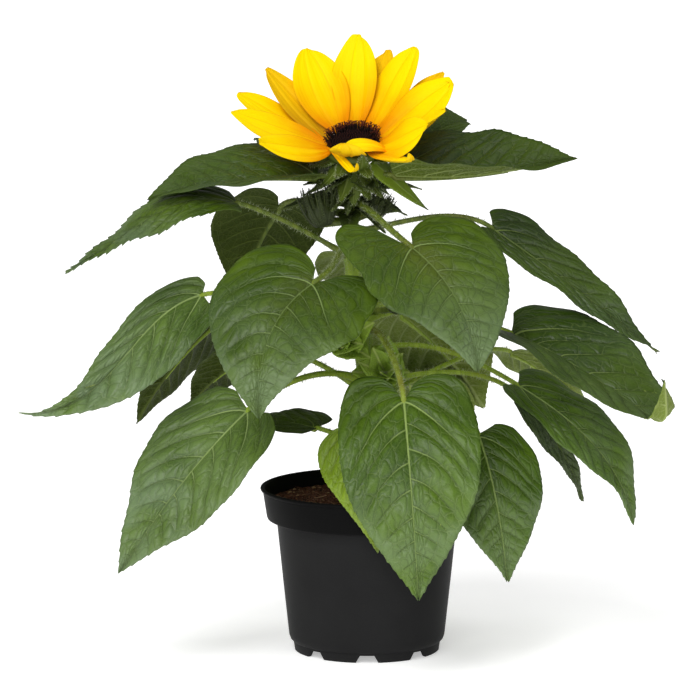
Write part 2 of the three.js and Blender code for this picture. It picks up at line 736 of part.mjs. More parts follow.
// A shoot: small leaves that open out from the end of one short stalk.
function shootSolid({ node, joint, tips }) {
  const from = stemAt(node);
  const to = vec(joint);
  const path = new THREE.LineCurve3(from, to.clone().lerp(from, -0.15));
  const stalk = limbSolid(path.getPoints(2), () => SHOOT_RADIUS, 6);
  return tips.reduce((whole, tip) => {
    const width = to.distanceTo(vec(tip)) * SHOOT_LEAF_HALF;
    const spec = { base: joint, tip, face: [-90, 60], width, bow: [2, 1] };
    return whole.add(bladeSolid(spec, BRACT_OUTLINE, 1, BRACT_THICK));
  }, stalk);
}

const group = new THREE.Group();
group.name = "potted_sunflower";

function addNode(name, solid, look) {
  const mesh = new THREE.Mesh(geometryOf(solid), new THREE.MeshStandardMaterial(COLOURS[look]));
  mesh.name = name;
  group.add(mesh);
}

addNode("pot", potSolid(), "pot");
addNode("soil", soilSolid(), "soil");
addNode("stem", stemSolid(), "stem");
const stemSpace = stemSolid(CLEAR);
for (const [name, spec] of Object.entries(LEAVES)) {
  addNode(name, leafSolid(spec, stemSpace), "leaf");
}
addNode("calyx", calyxSolid(), "bract");
addNode("disc", discSolid(), "disc");
PETALS.forEach((petal, i) => addNode(`petal_${i + 1}`, petalSolid(petal), "petal"));
for (const [name, spec] of Object.entries(BUDS)) {
  addNode(name, largestPiece(budSolid(spec).subtract(stemSpace)), "bud");
}
for (const [name, spec] of Object.entries(SHOOTS)) {
  addNode(name, largestPiece(shootSolid(spec).subtract(stemSpace)), "bract");
}

export default group;
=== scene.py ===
import math

import bpy
import numpy as np
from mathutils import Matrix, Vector


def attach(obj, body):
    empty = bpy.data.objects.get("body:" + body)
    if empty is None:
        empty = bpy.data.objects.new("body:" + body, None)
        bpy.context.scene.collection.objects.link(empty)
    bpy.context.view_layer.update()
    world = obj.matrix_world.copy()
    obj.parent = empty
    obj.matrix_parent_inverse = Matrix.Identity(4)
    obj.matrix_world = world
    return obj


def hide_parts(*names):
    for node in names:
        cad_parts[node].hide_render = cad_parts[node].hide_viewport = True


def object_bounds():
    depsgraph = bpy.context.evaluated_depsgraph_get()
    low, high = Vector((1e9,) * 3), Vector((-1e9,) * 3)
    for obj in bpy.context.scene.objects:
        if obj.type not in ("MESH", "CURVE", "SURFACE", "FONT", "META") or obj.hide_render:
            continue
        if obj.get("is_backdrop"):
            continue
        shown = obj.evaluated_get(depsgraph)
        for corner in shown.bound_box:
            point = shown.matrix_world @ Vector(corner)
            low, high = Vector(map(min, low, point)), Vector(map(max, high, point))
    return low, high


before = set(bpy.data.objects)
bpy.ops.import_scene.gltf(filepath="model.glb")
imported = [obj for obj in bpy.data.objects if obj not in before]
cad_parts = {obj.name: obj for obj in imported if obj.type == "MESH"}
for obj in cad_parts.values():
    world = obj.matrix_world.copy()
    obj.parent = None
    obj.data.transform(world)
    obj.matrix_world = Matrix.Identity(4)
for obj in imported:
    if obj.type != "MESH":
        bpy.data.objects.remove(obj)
cad_low, cad_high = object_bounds()
bpy.ops.object.select_all(action="DESELECT")


# The pot is a nursery pot of thin black plastic, moulded in one piece: a rounded lip on a deep
# collar, a tapering wall, a foot ring with eight notches, and a floor with eight drain holes.

MM = 0.001


def maths(operation, swapped=False):
    """An operator of a field, which adds a Math node."""
    def operator(self, *others):
        values = (*others, self) if swapped else (self, *others)
        sockets = dict(enumerate(values))
        return self.surface.node("ShaderNodeMath", {"operation": operation}, sockets)
    return operator


class Field:
    """A socket of a material, so that shader maths is written as maths."""

    def __init__(self, surface, socket):
        self.surface = surface
        self.socket = socket

    __add__ = __radd__ = maths("ADD")
    __sub__ = maths("SUBTRACT")
    __rsub__ = maths("SUBTRACT", swapped=True)
    __mul__ = __rmul__ = maths("MULTIPLY")
    __truediv__ = maths("DIVIDE")
    __abs__ = maths("ABSOLUTE")
    fract = maths("FRACT")
    most = maths("MAXIMUM")


class Surface:
    """A material with one Principled shader, whose fixed values are given by socket name."""

    def __init__(self, name, **fixed):
        self.material = bpy.data.materials.new(name)
        self.material.use_nodes = True
        self.tree = self.material.node_tree
        self.shader = self.tree.nodes["Principled BSDF"]
        for socket, value in fixed.items():
            self.shader.inputs[socket.replace("_", " ")].default_value = value

    def put(self, socket, value):
        if isinstance(value, Field):
            self.tree.links.new(value.socket, socket)
        elif isinstance(value, tuple) and socket.type == "RGBA":
            socket.default_value = (*value[:3], 1.0)
        else:
            socket.default_value = value

    def node(self, kind, settings=None, sockets=None, output=0):
        made = self.tree.nodes.new(kind)
        for key, value in (settings or {}).items():
            setattr(made, key, value)
        for key, value in (sockets or {}).items():
            self.put(made.inputs[key], value)
        return Field(self, made.outputs[output])

    def mix(self, factor, first, second):
        settings = {"data_type": "RGBA", "clamp_factor": True}
        return self.node("ShaderNodeMix", settings, {0: factor, 6: first, 7: second}, 2)

    def step(self, value, start, end):
        """Rises smoothly from 0 to 1 as the value goes from start to end."""
        sockets = {"Value": value, "From Min": start, "From Max": end}
        return self.node("ShaderNodeMapRange", {"interpolation_type": "SMOOTHSTEP"}, sockets)

    def place(self):
        return self.node("ShaderNodeTexCoord", output="Object")

    def map(self, name):
        return self.node("ShaderNodeUVMap", {"uv_map": name})

    def split(self, vector):
        made = self.node("ShaderNodeSeparateXYZ", sockets={0: vector})
        return [Field(self, socket) for socket in made.socket.node.outputs]

    def joined(self, x, y):
        return self.node("ShaderNodeCombineXYZ", sockets={0: x, 1: y})

    def stretched(self, vector, scale):
        return self.node("ShaderNodeMapping", sockets={"Vector": vector, "Scale": scale})

    def noise(self, vector, scale, detail=3.0, roughness=0.55):
        sockets = {"Vector": vector, "Scale": scale, "Detail": detail, "Roughness": roughness}
        return self.node("ShaderNodeTexNoise", sockets=sockets)

    def cells(self, vector, scale, dimensions="3D"):
        """The distance to the nearest edge between irregular cells."""
        settings = {"feature": "DISTANCE_TO_EDGE", "voronoi_dimensions": dimensions}
        return self.node("ShaderNodeTexVoronoi", settings, {"Vector": vector, "Scale": scale})

    def finish(self, colour, roughness, height=None, depth=0.0, strength=1.0):
        self.put(self.shader.inputs["Base Color"], colour)
        self.put(self.shader.inputs["Roughness"], roughness)
        if height is not None:
            sockets = {"Height": height, "Distance": depth, "Strength": strength}
            bump = self.node("ShaderNodeBump", sockets=sockets)
            self.put(self.shader.inputs["Normal"], bump)
        return self.material


def black_plastic():
    """Dull moulded plastic, with painted shade that makes the collar darker than the wall."""
    skin = Surface("black_plastic", Specular_IOR_Level=0.04)
    place = skin.place()
    collar = skin.step(skin.split(place)[2], 0.0735, 0.0765)
    cloud = skin.noise(place, 28.0, 2.0)
    grain = skin.noise(place, 1400.0, 2.0)
    flow = skin.noise(skin.stretched(place, (60.0, 60.0, 900.0)), 1.0, 2.0)
    colour = skin.mix(cloud, (0.012, 0.012, 0.012), (0.020, 0.020, 0.0205))
    # Painted shade: the collar is mixed towards near black.
    colour = skin.mix(collar * 0.9, colour, (0.003, 0.003, 0.003))
    roughness = 0.44 + 0.12 * cloud + 0.06 * grain
    return skin.finish(colour, roughness, grain * 0.6 + flow * 0.4, 0.00008)


def turned(name, profile, segments):
    """A shell of revolution: one circle, extruded and scaled ring by ring along the profile."""
    radius, height = profile[0]
    bpy.ops.mesh.primitive_circle_add(
        vertices=segments, radius=radius * MM, location=(0, 0, height * MM)
    )
    made = bpy.context.object
    made.name = name
    bpy.ops.object.transform_apply(location=True, rotation=False, scale=False)
    bpy.ops.object.mode_set(mode="EDIT")
    for wider, higher in profile[1:]:
        rise = {"value": (0, 0, (higher - height) * MM)}
        bpy.ops.mesh.extrude_region_move(TRANSFORM_OT_translate=rise)
        scale = wider / radius
        centre = (0, 0, higher * MM)
        bpy.ops.transform.resize(value=(scale, scale, 1), center_override=centre)
        radius, height = wider, higher
    bpy.ops.mesh.select_all(action="SELECT")
    bpy.ops.mesh.fill_holes(sides=0)
    bpy.ops.mesh.normals_make_consistent(inside=False)
    bpy.ops.object.mode_set(mode="OBJECT")
    return made


def apply_all(piece):
    bpy.context.view_layer.objects.active = piece
    for modifier in list(piece.modifiers):
        bpy.ops.object.modifier_apply(modifier=modifier.name)


# Radii and heights in millimetres: the pad and floor from below, the foot ring, the wall, the
# collar and the lip, and then the inside down to the floor.
POT_PROFILE = [
    (1, 0), (10.4, 0), (11, 0.6), (11.2, 4.4), (37.6, 4.4), (38, 4), (38.2, 0.5), (38.7, 0),
    (40.5, 0), (41, 0.5), (41.5, 5.2), (42.2, 5.7), (43.1, 6.6), (43.8, 8.4), (44.1, 10.4),
    (47.5, 42), (50.6, 72), (50.9, 74.4), (51.4, 75), (55.2, 75), (56, 75.4), (56.4, 76.4),
    (57.6, 84), (58.6, 90.6), (59.2, 91.1), (59.8, 91.5), (60, 92.1), (59.8, 92.7), (59.3, 93),
    (58.5, 93), (58, 92.7), (57.6, 92), (56.4, 84), (55.3, 77), (54.8, 76.3), (50.2, 76.2),
    (49.6, 75.4), (46.2, 42), (42.8, 10.4), (42.2, 7.4), (40.6, 5.8), (20, 5.7), (1, 5.7),
]
POT_SIDES = 160
NOTCHES = 8
NOTCH = {"circle": 39.6, "wide": 13.0, "narrow": 8.0, "high": 4.2, "below": 1.5}
DRAIN = {"circle": 27.0, "radius": 3.5, "height": 5.0, "deep": 6.0}


def pot_place(radius, turn, height):
    """A place by its distance from the pot's axis, its turn from the front and its height."""
    return radius * MM * math.sin(turn), -radius * MM * math.cos(turn), height * MM


pot = turned("nursery_pot", POT_PROFILE, POT_SIDES)
bpy.ops.mesh.primitive_cone_add(vertices=4, radius1=1, radius2=1, depth=1)
cutter = bpy.context.object
bpy.ops.object.mode_set(mode="EDIT")
bpy.ops.mesh.delete(type="VERT")
for notch in range(NOTCHES):
    turn = 2 * math.pi * notch / NOTCHES
    bpy.ops.mesh.primitive_cone_add(
        vertices=4,
        radius1=(NOTCH["wide"] + NOTCH["below"]) / math.sqrt(2) * MM,
        radius2=NOTCH["narrow"] / math.sqrt(2) * MM,
        depth=(NOTCH["high"] + NOTCH["below"]) * MM,
        location=pot_place(NOTCH["circle"], turn, (NOTCH["high"] - NOTCH["below"]) / 2),
        rotation=(0, 0, turn + math.pi / 4),
    )
    bpy.ops.mesh.primitive_cylinder_add(
        vertices=20,
        radius=DRAIN["radius"] * MM,
        depth=DRAIN["deep"] * MM,
        location=pot_place(DRAIN["circle"], turn + math.pi / NOTCHES, DRAIN["height"]),
    )
bpy.ops.object.mode_set(mode="OBJECT")
cut = pot.modifiers.new("notches", "BOOLEAN")
cut.object = cutter
cut.solver = "EXACT"
rounding = pot.modifiers.new("rounding", "BEVEL")
rounding.width = 0.25 * MM
rounding.segments = 2
rounding.limit_method = "ANGLE"
rounding.angle_limit = math.radians(50)
apply_all(pot)
bpy.data.objects.remove(cutter)
bpy.ops.object.select_all(action="DESELECT")
pot.select_set(True)
bpy.ops.object.shade_smooth_by_angle(angle=math.radians(35))
bpy.ops.object.select_all(action="DESELECT")
pot.data.materials.append(black_plastic())
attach(pot, "root")
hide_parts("pot")


# The soil is loose fibrous peat, filled to a little below the rim: a bed with an uneven top, and
# on it the crumbs, fibres and pale flecks that such a mix shows.

SOIL_TOP = 85.0
BED_TOP = SOIL_TOP - 0.4
PEAT = {"radius": 56.1, "rings": 46, "sides": 150, "crumbs": 4200, "fibres": 420}
PEAT_WALL = [(55.6, 82.0), (54.6, 76.8), (49.2, 76.6), (42.2, 10.2), (40.0, 6.2), (4.0, 6.0)]
rng = np.random.default_rng(2608)


class Heap:
    """Collects vertices, faces, map coordinates and material numbers into one mesh."""

    def __init__(self):
        self.points = []
        self.faces = []
        self.maps = []
        self.skins = []
        self.count = 0

    def add(self, points, faces, maps=None, skin=0):
        """points are in millimetres, and maps holds one row of two pairs for each point. faces are
        one group or a list of groups, and skin is one number, or a tuple of one for each group."""
        points = np.asarray(points, float).reshape(-1, 3)
        if maps is None:
            maps = np.zeros((len(points), 4))
        self.points.append(points)
        self.maps.append(np.asarray(maps, float).reshape(-1, 4))
        groups = faces if isinstance(faces, list) else [faces]
        skins = skin if isinstance(skin, tuple) else (skin,) * len(groups)
        for group, number in zip(groups, skins):
            self.faces.extend((np.asarray(group) + self.count).tolist())
            self.skins.extend([number] * len(group))
        self.count += len(points)

    def mesh(self, name, materials, node_names, slot):
        """Makes the piece, with the maps flat and veins, and ties it to the plant's body."""
        data = bpy.data.meshes.new(name)
        data.from_pydata((np.concatenate(self.points) * MM).tolist(), [], self.faces)
        data.update()
        maps = np.concatenate(self.maps)
        order = np.empty(len(data.loops), np.int32)
        data.loops.foreach_get("vertex_index", order)
        for label, pair in (("flat", maps[:, :2]), ("veins", maps[:, 2:])):
            layer = data.uv_layers.new(name=label)
            layer.data.foreach_set("uv", pair[order].astype(np.float32).ravel())
        for material in materials:
            data.materials.append(material)
        data.polygons.foreach_set("material_index", np.asarray(self.skins, np.int32))
        data.polygons.foreach_set("use_smooth", np.ones(len(self.skins), bool))
        piece = bpy.data.objects.new(name, data)
        bpy.context.scene.collection.objects.link(piece)
        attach(piece, "root")
        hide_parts(*node_names)
        return piece


def unit(vectors):
    return vectors / np.linalg.norm(vectors, axis=-1, keepdims=True)


def dot(a, b):
    return np.sum(a * b, axis=-1, keepdims=True)


def square_to(direction, axis):
    """The part of a direction that is square to an axis, as unit vectors."""
    return unit(direction - axis * dot(direction, axis))


def circle(sides):
    """The angles of a ring's corners."""
    return np.linspace(0, 2 * np.pi, sides, endpoint=False)


def loop_faces(rings, sides):
    """The faces between the rings of a tube whose rings have the same number of sides."""
    start = np.arange(rings - 1)[:, None] * sides
    near = np.arange(sides)[None, :]
    far = (near + 1) % sides
    corners = (start + near, start + far, start + sides + far, start + sides + near)
    return np.stack(corners, -1).reshape(-1, 4)


def capped(rings, sides):
    """The faces of such a tube with both of its ends closed."""
    ends = [np.arange(sides)[::-1][None], np.arange(sides)[None] + sides * (rings - 1)]
    return [loop_faces(rings, sides), *ends]


def tube(points, radius, sides, shape=None):
    """A closed tapering tube. shape is a radius factor for each side."""
    points = np.asarray(points, float)
    along = unit(np.gradient(points, axis=0))
    guide = np.array([1.0, 0, 0]) if abs(along[0, 2]) > 0.9 else np.array([0, 0, 1.0])
    across = np.empty_like(points)
    for i, direction in enumerate(along):
        guide = square_to(guide, direction)
        across[i] = guide
    third = np.cross(along, across)
    angle = circle(sides)
    size = np.broadcast_to(radius, len(points))[:, None, None]
    if shape is not None:
        size = size * np.asarray(shape)[None, :, None]
    cosine, sine = np.cos(angle)[None, :, None], np.sin(angle)[None, :, None]
    ring = cosine * across[:, None] + sine * third[:, None]
    rings = points[:, None] + ring * size
    reach = np.linspace(0, 1, len(points))
    maps = np.zeros((len(points), sides, 4))
    maps[..., 0] = angle[None] / (2 * np.pi)
    maps[..., 1] = reach[:, None]
    return rings.reshape(-1, 3), capped(len(points), sides), maps


def ripples(x, y, waves, seed):
    """Smooth irregular heights between about -1 and 1, the sum of a few crossing waves."""
    draw = np.random.default_rng(seed)
    total = 0.0
    for wave in waves:
        angle = draw.uniform(0, 2 * np.pi, 3)
        for turn, shift in zip(angle, draw.uniform(0, 2 * np.pi, 3)):
            total = total + np.sin((x * np.cos(turn) + y * np.sin(turn)) / wave + shift)
    return total / (3 * len(waves))


def peat_height(x, y):
    return 0.9 * ripples(x, y, (7.0, 3.4, 1.9), 41) + 0.35 * ripples(x, y, (0.9, 0.6), 43)


def peat_skin():
    skin = Surface("peat", Specular_IOR_Level=0.15)
    tone = skin.split(skin.map("flat"))[0]
    place = skin.place()
    speck = skin.noise(place, 900.0, 4.0, 0.7)
    blot = skin.noise(place, 160.0, 3.0)
    dark = skin.mix(skin.step(blot, 0.35, 0.7), (0.014, 0.006, 0.004), (0.070, 0.024, 0.014))
    warm = skin.mix(skin.step(speck, 0.4, 0.75), dark, (0.15, 0.062, 0.036))
    colour = skin.mix(skin.step(tone, 0.78, 1.0), warm, (0.30, 0.19, 0.11))
    return skin.finish(colour, 0.75 + 0.2 * speck, speck, 0.0006)


bed = Heap()
angle = circle(PEAT["sides"])
rings = np.linspace(0.02, 1.0, PEAT["rings"])[:, None] * PEAT["radius"]
x, y = rings * np.cos(angle), rings * np.sin(angle)
top = np.stack([x, y, BED_TOP + peat_height(x, y)], -1)[::-1]
wall = [np.stack([r * np.cos(angle), r * np.sin(angle), np.full_like(angle, z)], -1)
        for r, z in PEAT_WALL[::-1]]
bed.add(np.concatenate([wall, top]), capped(len(wall) + len(top), PEAT["sides"]))

golden = (1 + math.sqrt(5)) / 2
ICO_POINTS = unit(np.array([
    np.roll((a, b, 0), turn) for turn in range(3) for b in (golden, -golden) for a in (-1, 1)
]))
ICO_FACES = np.array([
    (0, 11, 5), (0, 5, 1), (0, 1, 7), (0, 7, 10), (0, 10, 11), (1, 5, 9), (5, 11, 4),
    (11, 10, 2), (10, 7, 6), (7, 1, 8), (3, 9, 4), (3, 4, 2), (3, 2, 6), (3, 6, 8),
    (3, 8, 9), (4, 9, 5), (2, 4, 11), (6, 2, 10), (8, 6, 7), (9, 8, 1),
])


def scattered(count, reach):
    """Even random places on the peat, clear of the stem and of the pot's wall."""
    radius = np.sqrt(rng.uniform(0.014, 1, count)) * reach
    turn = rng.uniform(0, 2 * np.pi, count)
    x, y = radius * np.cos(turn), radius * np.sin(turn)
    return np.stack([x, y, BED_TOP + peat_height(x, y)], -1)


for spot in scattered(PEAT["crumbs"], 54.0):
    size = rng.uniform(0.35, 1.3) * rng.uniform(0.8, 1.5, 3)
    size[2] *= 0.7
    lump = ICO_POINTS * size * rng.uniform(0.75, 1.25, (12, 1)) + spot
    tone = np.zeros((12, 4))
    tone[:, 0] = rng.uniform() ** 2.2
    bed.add(lump, ICO_FACES, tone)
for spot in scattered(PEAT["fibres"], 51.0):
    turn = rng.uniform(0, 2 * np.pi)
    length = rng.uniform(2.5, 7.0)
    share = np.linspace(-0.5, 0.5, 6)
    curl = rng.uniform(-0.35, 0.35) * length * (share**2 - 0.1)
    x = spot[0] + length * share * np.cos(turn) - curl * np.sin(turn)
    y = spot[1] + length * share * np.sin(turn) + curl * np.cos(turn)
    lift = 0.45 + rng.uniform(0, 1.0) * (share + 0.5)
    strand = np.stack([x, y, SOIL_TOP - 0.3 + peat_height(x, y) + lift], -1)
    points, faces, maps = tube(strand, rng.uniform(0.09, 0.2), 4)
    maps[..., 0] = rng.uniform(0.4, 1.0)
    bed.add(points, faces, maps)
bed.mesh("peat", [peat_skin()], ["soil"], "soil")


# The stem is one fresh green stalk, a little sinuous, that tapers from a flare at the soil to the
# flower head. It is ribbed lengthwise, and swells where each leaf stalk joins it.

STEM_FOOT = SOIL_TOP + 0.3
STEM_SIDES = 54
FLARE = {"size": 1.6, "fade": 30.0}
SWELLING = {"size": 0.45, "reach": 2.6, "most": 1.3}
JOINTS = [130, 148, 152, 165, 174, 179, 186, 196, 212, 222, 236, 244, 255]
HEAD_MIDDLE = np.array([-8.0, -2.0, 287.0])
CALYX_DEPTH = 16.0


def heading(azimuth, elevation):
    """A unit direction from its compass angle from +X and its elevation, both in degrees."""
    a, e = math.radians(azimuth), math.radians(elevation)
    return np.array([math.cos(a) * math.cos(e), math.sin(a) * math.cos(e), math.sin(e)])


head_axis = heading(-100, 68)
head_right = square_to(np.array([1.0, 0, 0]), head_axis)
head_back = np.cross(head_axis, head_right)


def head_out(turn):
    """A direction away from the head's axis, at a turn in degrees from the plant's right."""
    angle = math.radians(turn)
    return head_right * math.cos(angle) + head_back * math.sin(angle)


def head_point(radius, turn, height):
    return HEAD_MIDDLE + head_out(turn) * radius + head_axis * height


def smooth(value, start, end):
    share = np.clip((value - start) / (end - start), 0, 1)
    return share * share * (3 - 2 * share)


def lengthened(points):
    """The points, with one more straight on at each end."""
    points = np.asarray(points, float)
    return np.concatenate([[2 * points[0] - points[1]], points, [2 * points[-1] - points[-2]]])


def woven(points, steps):
    """A smooth line through points, whose parts are as long as the points lie apart."""
    guides = lengthened(points)
    line = []
    for i in range(len(points) - 1):
        a, b, c, d = guides[i : i + 4]
        before, here, after = (math.dist(p, q) ** 0.5 for p, q in ((a, b), (b, c), (c, d)))
        leave = ((b - a) / before - (c - a) / (before + here) + (c - b) / here) * here
        reach = ((c - b) / here - (d - b) / (here + after) + (d - c) / after) * here
        t = np.linspace(0, 1, steps, endpoint=False)[:, None]
        cubic = (2 * b - 2 * c + leave + reach) * t**3 + (3 * c - 3 * b - 2 * leave - reach) * t**2
        line.append(cubic + leave * t + b)
    return np.concatenate([*line, points[-1:]])


class Path:
    """A line that is read by shares of its length."""

    def __init__(self, points):
        self.points = np.asarray(points, float)
        steps = np.linalg.norm(np.diff(self.points, axis=0), axis=1)
        self.reach = np.concatenate([[0], np.cumsum(steps)])
        self.length = self.reach[-1]
        self.slopes = unit(np.gradient(self.points, axis=0))

    def read(self, rows, share):
        spot = np.asarray(share) * self.length
        return np.stack([np.interp(spot, self.reach, column) for column in rows.T], -1)

    def at(self, share):
        return self.read(self.points, share)

    def along(self, share):
        return unit(self.read(self.slopes, share))


stem_line = Path(woven([
    (0, 0, STEM_FOOT), (0, 0, SOIL_TOP + 14), (0, 1, 122), (-1, 3, 153), (-3, 3, 187),
    (-8, 4, 215), (-9, 6, 236), (-8, 8, 258), head_point(0, 0, -CALYX_DEPTH - 0.6),
], 60))


def stem_at(height):
    """The stem's middle at a height."""
    return np.array([np.interp(height, stem_line.points[:, 2], c) for c in stem_line.points.T])


def stem_radius(share):
    taper = np.interp(share, (0, 0.5, 1), (5.6, 4.6, 3.6))
    return taper + FLARE["size"] * np.exp(-share * FLARE["fade"])


def green_skin(name, pale, deep, blush, roughness):
    """Fresh stalk skin: streaks along it, and a little red where the light has caught it."""
    skin = Surface(name, Specular_IOR_Level=0.35)
    place = skin.place()
    streak = skin.noise(skin.stretched(place, (420.0, 420.0, 40.0)), 1.0, 4.0, 0.6)
    cloud = skin.noise(place, 34.0, 2.0)
    pore = skin.noise(place, 1500.0, 2.0)
    base = skin.mix(skin.step(streak, 0.3, 0.7), deep, pale)
    colour = skin.mix(skin.step(cloud, 0.5, 0.75) * 0.5, base, blush)
    return skin.finish(colour, roughness + 0.12 * streak, streak + 0.4 * pore, 0.00035)


stem_skin = green_skin(
    "stem_skin", (0.26, 0.37, 0.04), (0.12, 0.20, 0.02), (0.20, 0.22, 0.03), 0.48
)
stem_share = np.linspace(0, 1, 150)
stem_ring = stem_line.at(stem_share)
swelling = sum(np.exp(-(((stem_ring[:, 2] - joint) / SWELLING["reach"]) ** 2)) for joint in JOINTS)
swelling = SWELLING["size"] * np.minimum(swelling, SWELLING["most"])
stem_width = stem_radius(stem_share) + swelling
ribs = 1 + 0.035 * np.cos(9 * circle(STEM_SIDES))
main_stem = Heap()
main_stem.add(*tube(stem_ring, stem_width, STEM_SIDES, ribs), skin=2)


# The leaves are the plant's large heart-shaped blades with toothed margins. Each hangs on its own
# stalk, a channelled stem that runs on under the blade as the midrib, and each blade is quilted
# between its veins: a midrib, a strong pair from the base, and weaker ones that arch forwards.

LOBED_OUTLINE = [
    (0, 0), (0.13, -0.08), (0.42, -0.135), (0.76, -0.10), (0.96, 0.06), (1, 0.25),
    (0.91, 0.44), (0.69, 0.62), (0.4, 0.8), (0.16, 0.92), (0, 1),
]
ROUND_OUTLINE = [
    (0, 0), (0.38, -0.07), (0.70, -0.01), (0.92, 0.11), (1, 0.28),
    (0.92, 0.46), (0.70, 0.63), (0.40, 0.8), (0.16, 0.92), (0, 1),
]
USUAL_LENGTH = 110
LEAF_THICK = 0.5
FOLD_FADE = 0.35
TOOTH_PITCH = 5.4
QUILT = 1.1
VEIN_STARTS = [0.015, 0.17, 0.32, 0.46, 0.59, 0.70, 0.80, 0.88, 0.95, 1.0]

# A stalk leaves the stem at the height node and rises at the angle rise. face is where the upper
# side looks, by compass angle and elevation. width is half the blade's and lobe the length of its
# basal lobes, each on the right and the left of the midrib. What only some leaves have comes last.
LEAF_SIZES = (
    "node", "rise", "base", "tip", "face", "width", "bow", "droop", "fold", "lobe", "skin",
)
LEAVES = {
    "front_low": (179, 35, (20, -56, 152), (28, -88, 45), (-88, 12), (38, 40), (14, 12), 5, 8,
                  (0.95, 0.85), "broad", dict(belly=0.05, stalk="blushed")),
    "front_pale": (148, 10, (-6, -42, 132), (6, -72, 68), (-100, 15), (24, 27), (6, 6), 3, 6,
                   (0.75, 0.4), "pale", dict(belly=-0.12)),
    "front_left": (232, -10, (-29, -55, 217), (-59, -95, 147), (-105, 38), (43, 45), (14, 12), 6, 8,
                   (0.85, 1.8), "middle", dict(sway=(13, 11), tail=0.3)),
    "front_right": (255, -10, (24, -50, 236), (60, -90, 172), (-72, 38), (39, 42), (12, 10), 6, 6,
                    (3.2, 1.0), "middle", dict(sway=(-6, -8))),
    "left_low": (152, 30, (-66, -25, 141), (-138, -50, 52), (-115, 28), (34, 30), (12, 8), 4, 8,
                 (0.5, 0.6), "hazy", dict(belly=0.05)),
    "left_middle": (174, 30, (-91, -20, 205), (-194, -45, 143), (-100, 28), (15, 25), (10, -4), 3, 6,
                    0.3, "hazy", dict(sway=(12, -36), tail=0.88)),
    "left_upper": (222, 32, (-72, -22, 257), (-168, -35, 220), (-90, 72), (24, 17), (31, -2), 0, -6,
                   0.1, "middle", dict(tail=0.85, toothing=1.5)),
    "left_top": (258, 20, (-27, -9, 270), (-122, -25, 258), (-90, 74), (29, 26), (6, 8), 0, 22, 0.2,
                 "young", dict(belly=0.12)),
    "right_top": (262, 15, (14, -6, 270.5), (117, -10, 281), (-90, 82), (31, 30), (-6, -6), 0, 40,
                  0.2, "shaded", dict(twist=24, belly=0.08, under="middle")),
    "right_upper": (236, 12, (70, 6, 239), (164, 8, 167), (-35, 55), (16, 20), (2, 2), 1, 16, 0.7,
                    "young", dict(roll=18, tail=0.3)),
    "right_middle": (186, 30, (80, -10, 182), (183, -60, 123), (-50, 60), 38, (10, 2), 3, 24, 0.7,
                     "young", dict(curl=(0.74, 120, 0.86), tail=0.0, under="light")),
    "right_lower": (168, 25, (84, -5, 152), (149, -35, 77), (-42, 42), (22, 27), (12, 14), 2, 8, 0.6,
                    "broad", dict(sway=(-4, -12), belly=0.06, tail=0.25)),
    "right_low": (130, 30, (62, -22, 127), (78, -42, 46), (-65, 22), (27, 31), (10, 6), 4, 6, 0.6,
                  "broad", dict(belly=0.05)),
    "right_narrow": (150, 15, (86, 14, 142), (124, 36, 77), (-60, 30), 9, (10, 8), 2, 10, 0.2,
                     "shaded", {}),
    "back_left_low": (165, 25, (-80, 45, 184), (-132, 48, 120), (130, 40), 28, (8, 6), 3, 10, 0.5,
                      "shaded", {}),
    "back_left_under": (146, 30, (-62, 30, 164), (-101, 46, 130), (120, 50), 25, (6, 6), 2, 6, 0.4,
                        "shaded", {}),
    "left_shaded": (118, 5, (-28, 14, 124), (-98, 58, 114), (-120, 84), 23, (8, 8), 2, 6, 0.2,
                    "shaded", {}),
    "back_left_top": (244, 20, (-49, 34, 247), (-72, 52, 190), (110, 24), 34, (10, 6), 3, 6, 1.4,
                      "young", {}),
    "back_right_middle": (190, 20, (19, 42, 185), (68, 76, 124), (70, 35), 40, (8, 8), 4, 6, 0.8,
                          "middle", {}),
    "back_right_top": (256, 40, (14, 32, 272), (58, 82, 290), (-100, 50), (22, 33), (6, 8), 2, 34,
                       0.2, "shaded", dict(tail=-0.6)),
    "back_left_tip": (248, 30, (-22, 30, 266), (-65, 78, 281), (-80, 75), 25, (6, 8), 2, 12, 0.2,
                      "young", {}),
    "back_middle": (212, 25, (4, 60, 214), (14, 120, 158), (85, 50), 36, (12, 10), 4, 8, 1,
                    "middle", {}),
    "back_low": (132, 25, (24, 62, 146), (34, 108, 74), (80, 30), 35, (10, 10), 4, 8, 0.8,
                 "broad", {}),
    "back_left_middle": (196, 20, (-42, 66, 190), (-70, 116, 134), (115, 45), 33, (10, 8), 3, 8, 0.8,
                         "middle", {}),
    "back_right_low": (142, 10, (82, 50, 162), (124, 84, 112), (45, 45), 27, (10, 8), 3, 8, 0.6,
                       "broad", {}),
}


def pair(value):
    """A size that is the same on both halves is given once, and otherwise as two."""
    return value if isinstance(value, tuple) else (value, value)


def through(points, share):
    """A smooth line through points that are evenly spaced on it."""
    guides = lengthened(points)
    place = np.asarray(share) * (len(points) - 1)
    first = np.clip(place.astype(int), 0, len(points) - 2)
    t = (place - first)[..., None]
    a, b, c, d = (guides[first + step] for step in range(4))
    cubic = (3 * b - a - 3 * c + d) * t**3 + (2 * a - 5 * b + 4 * c - d) * t**2
    return 0.5 * (cubic + (c - a) * t + 2 * b)


def curve(start, first, second, end):
    t = np.linspace(0, 1, 241)[:, None]
    near = (1 - t) ** 3 * start + 3 * (1 - t) ** 2 * t * first
    return near + 3 * (1 - t) * t**2 * second + t**3 * end


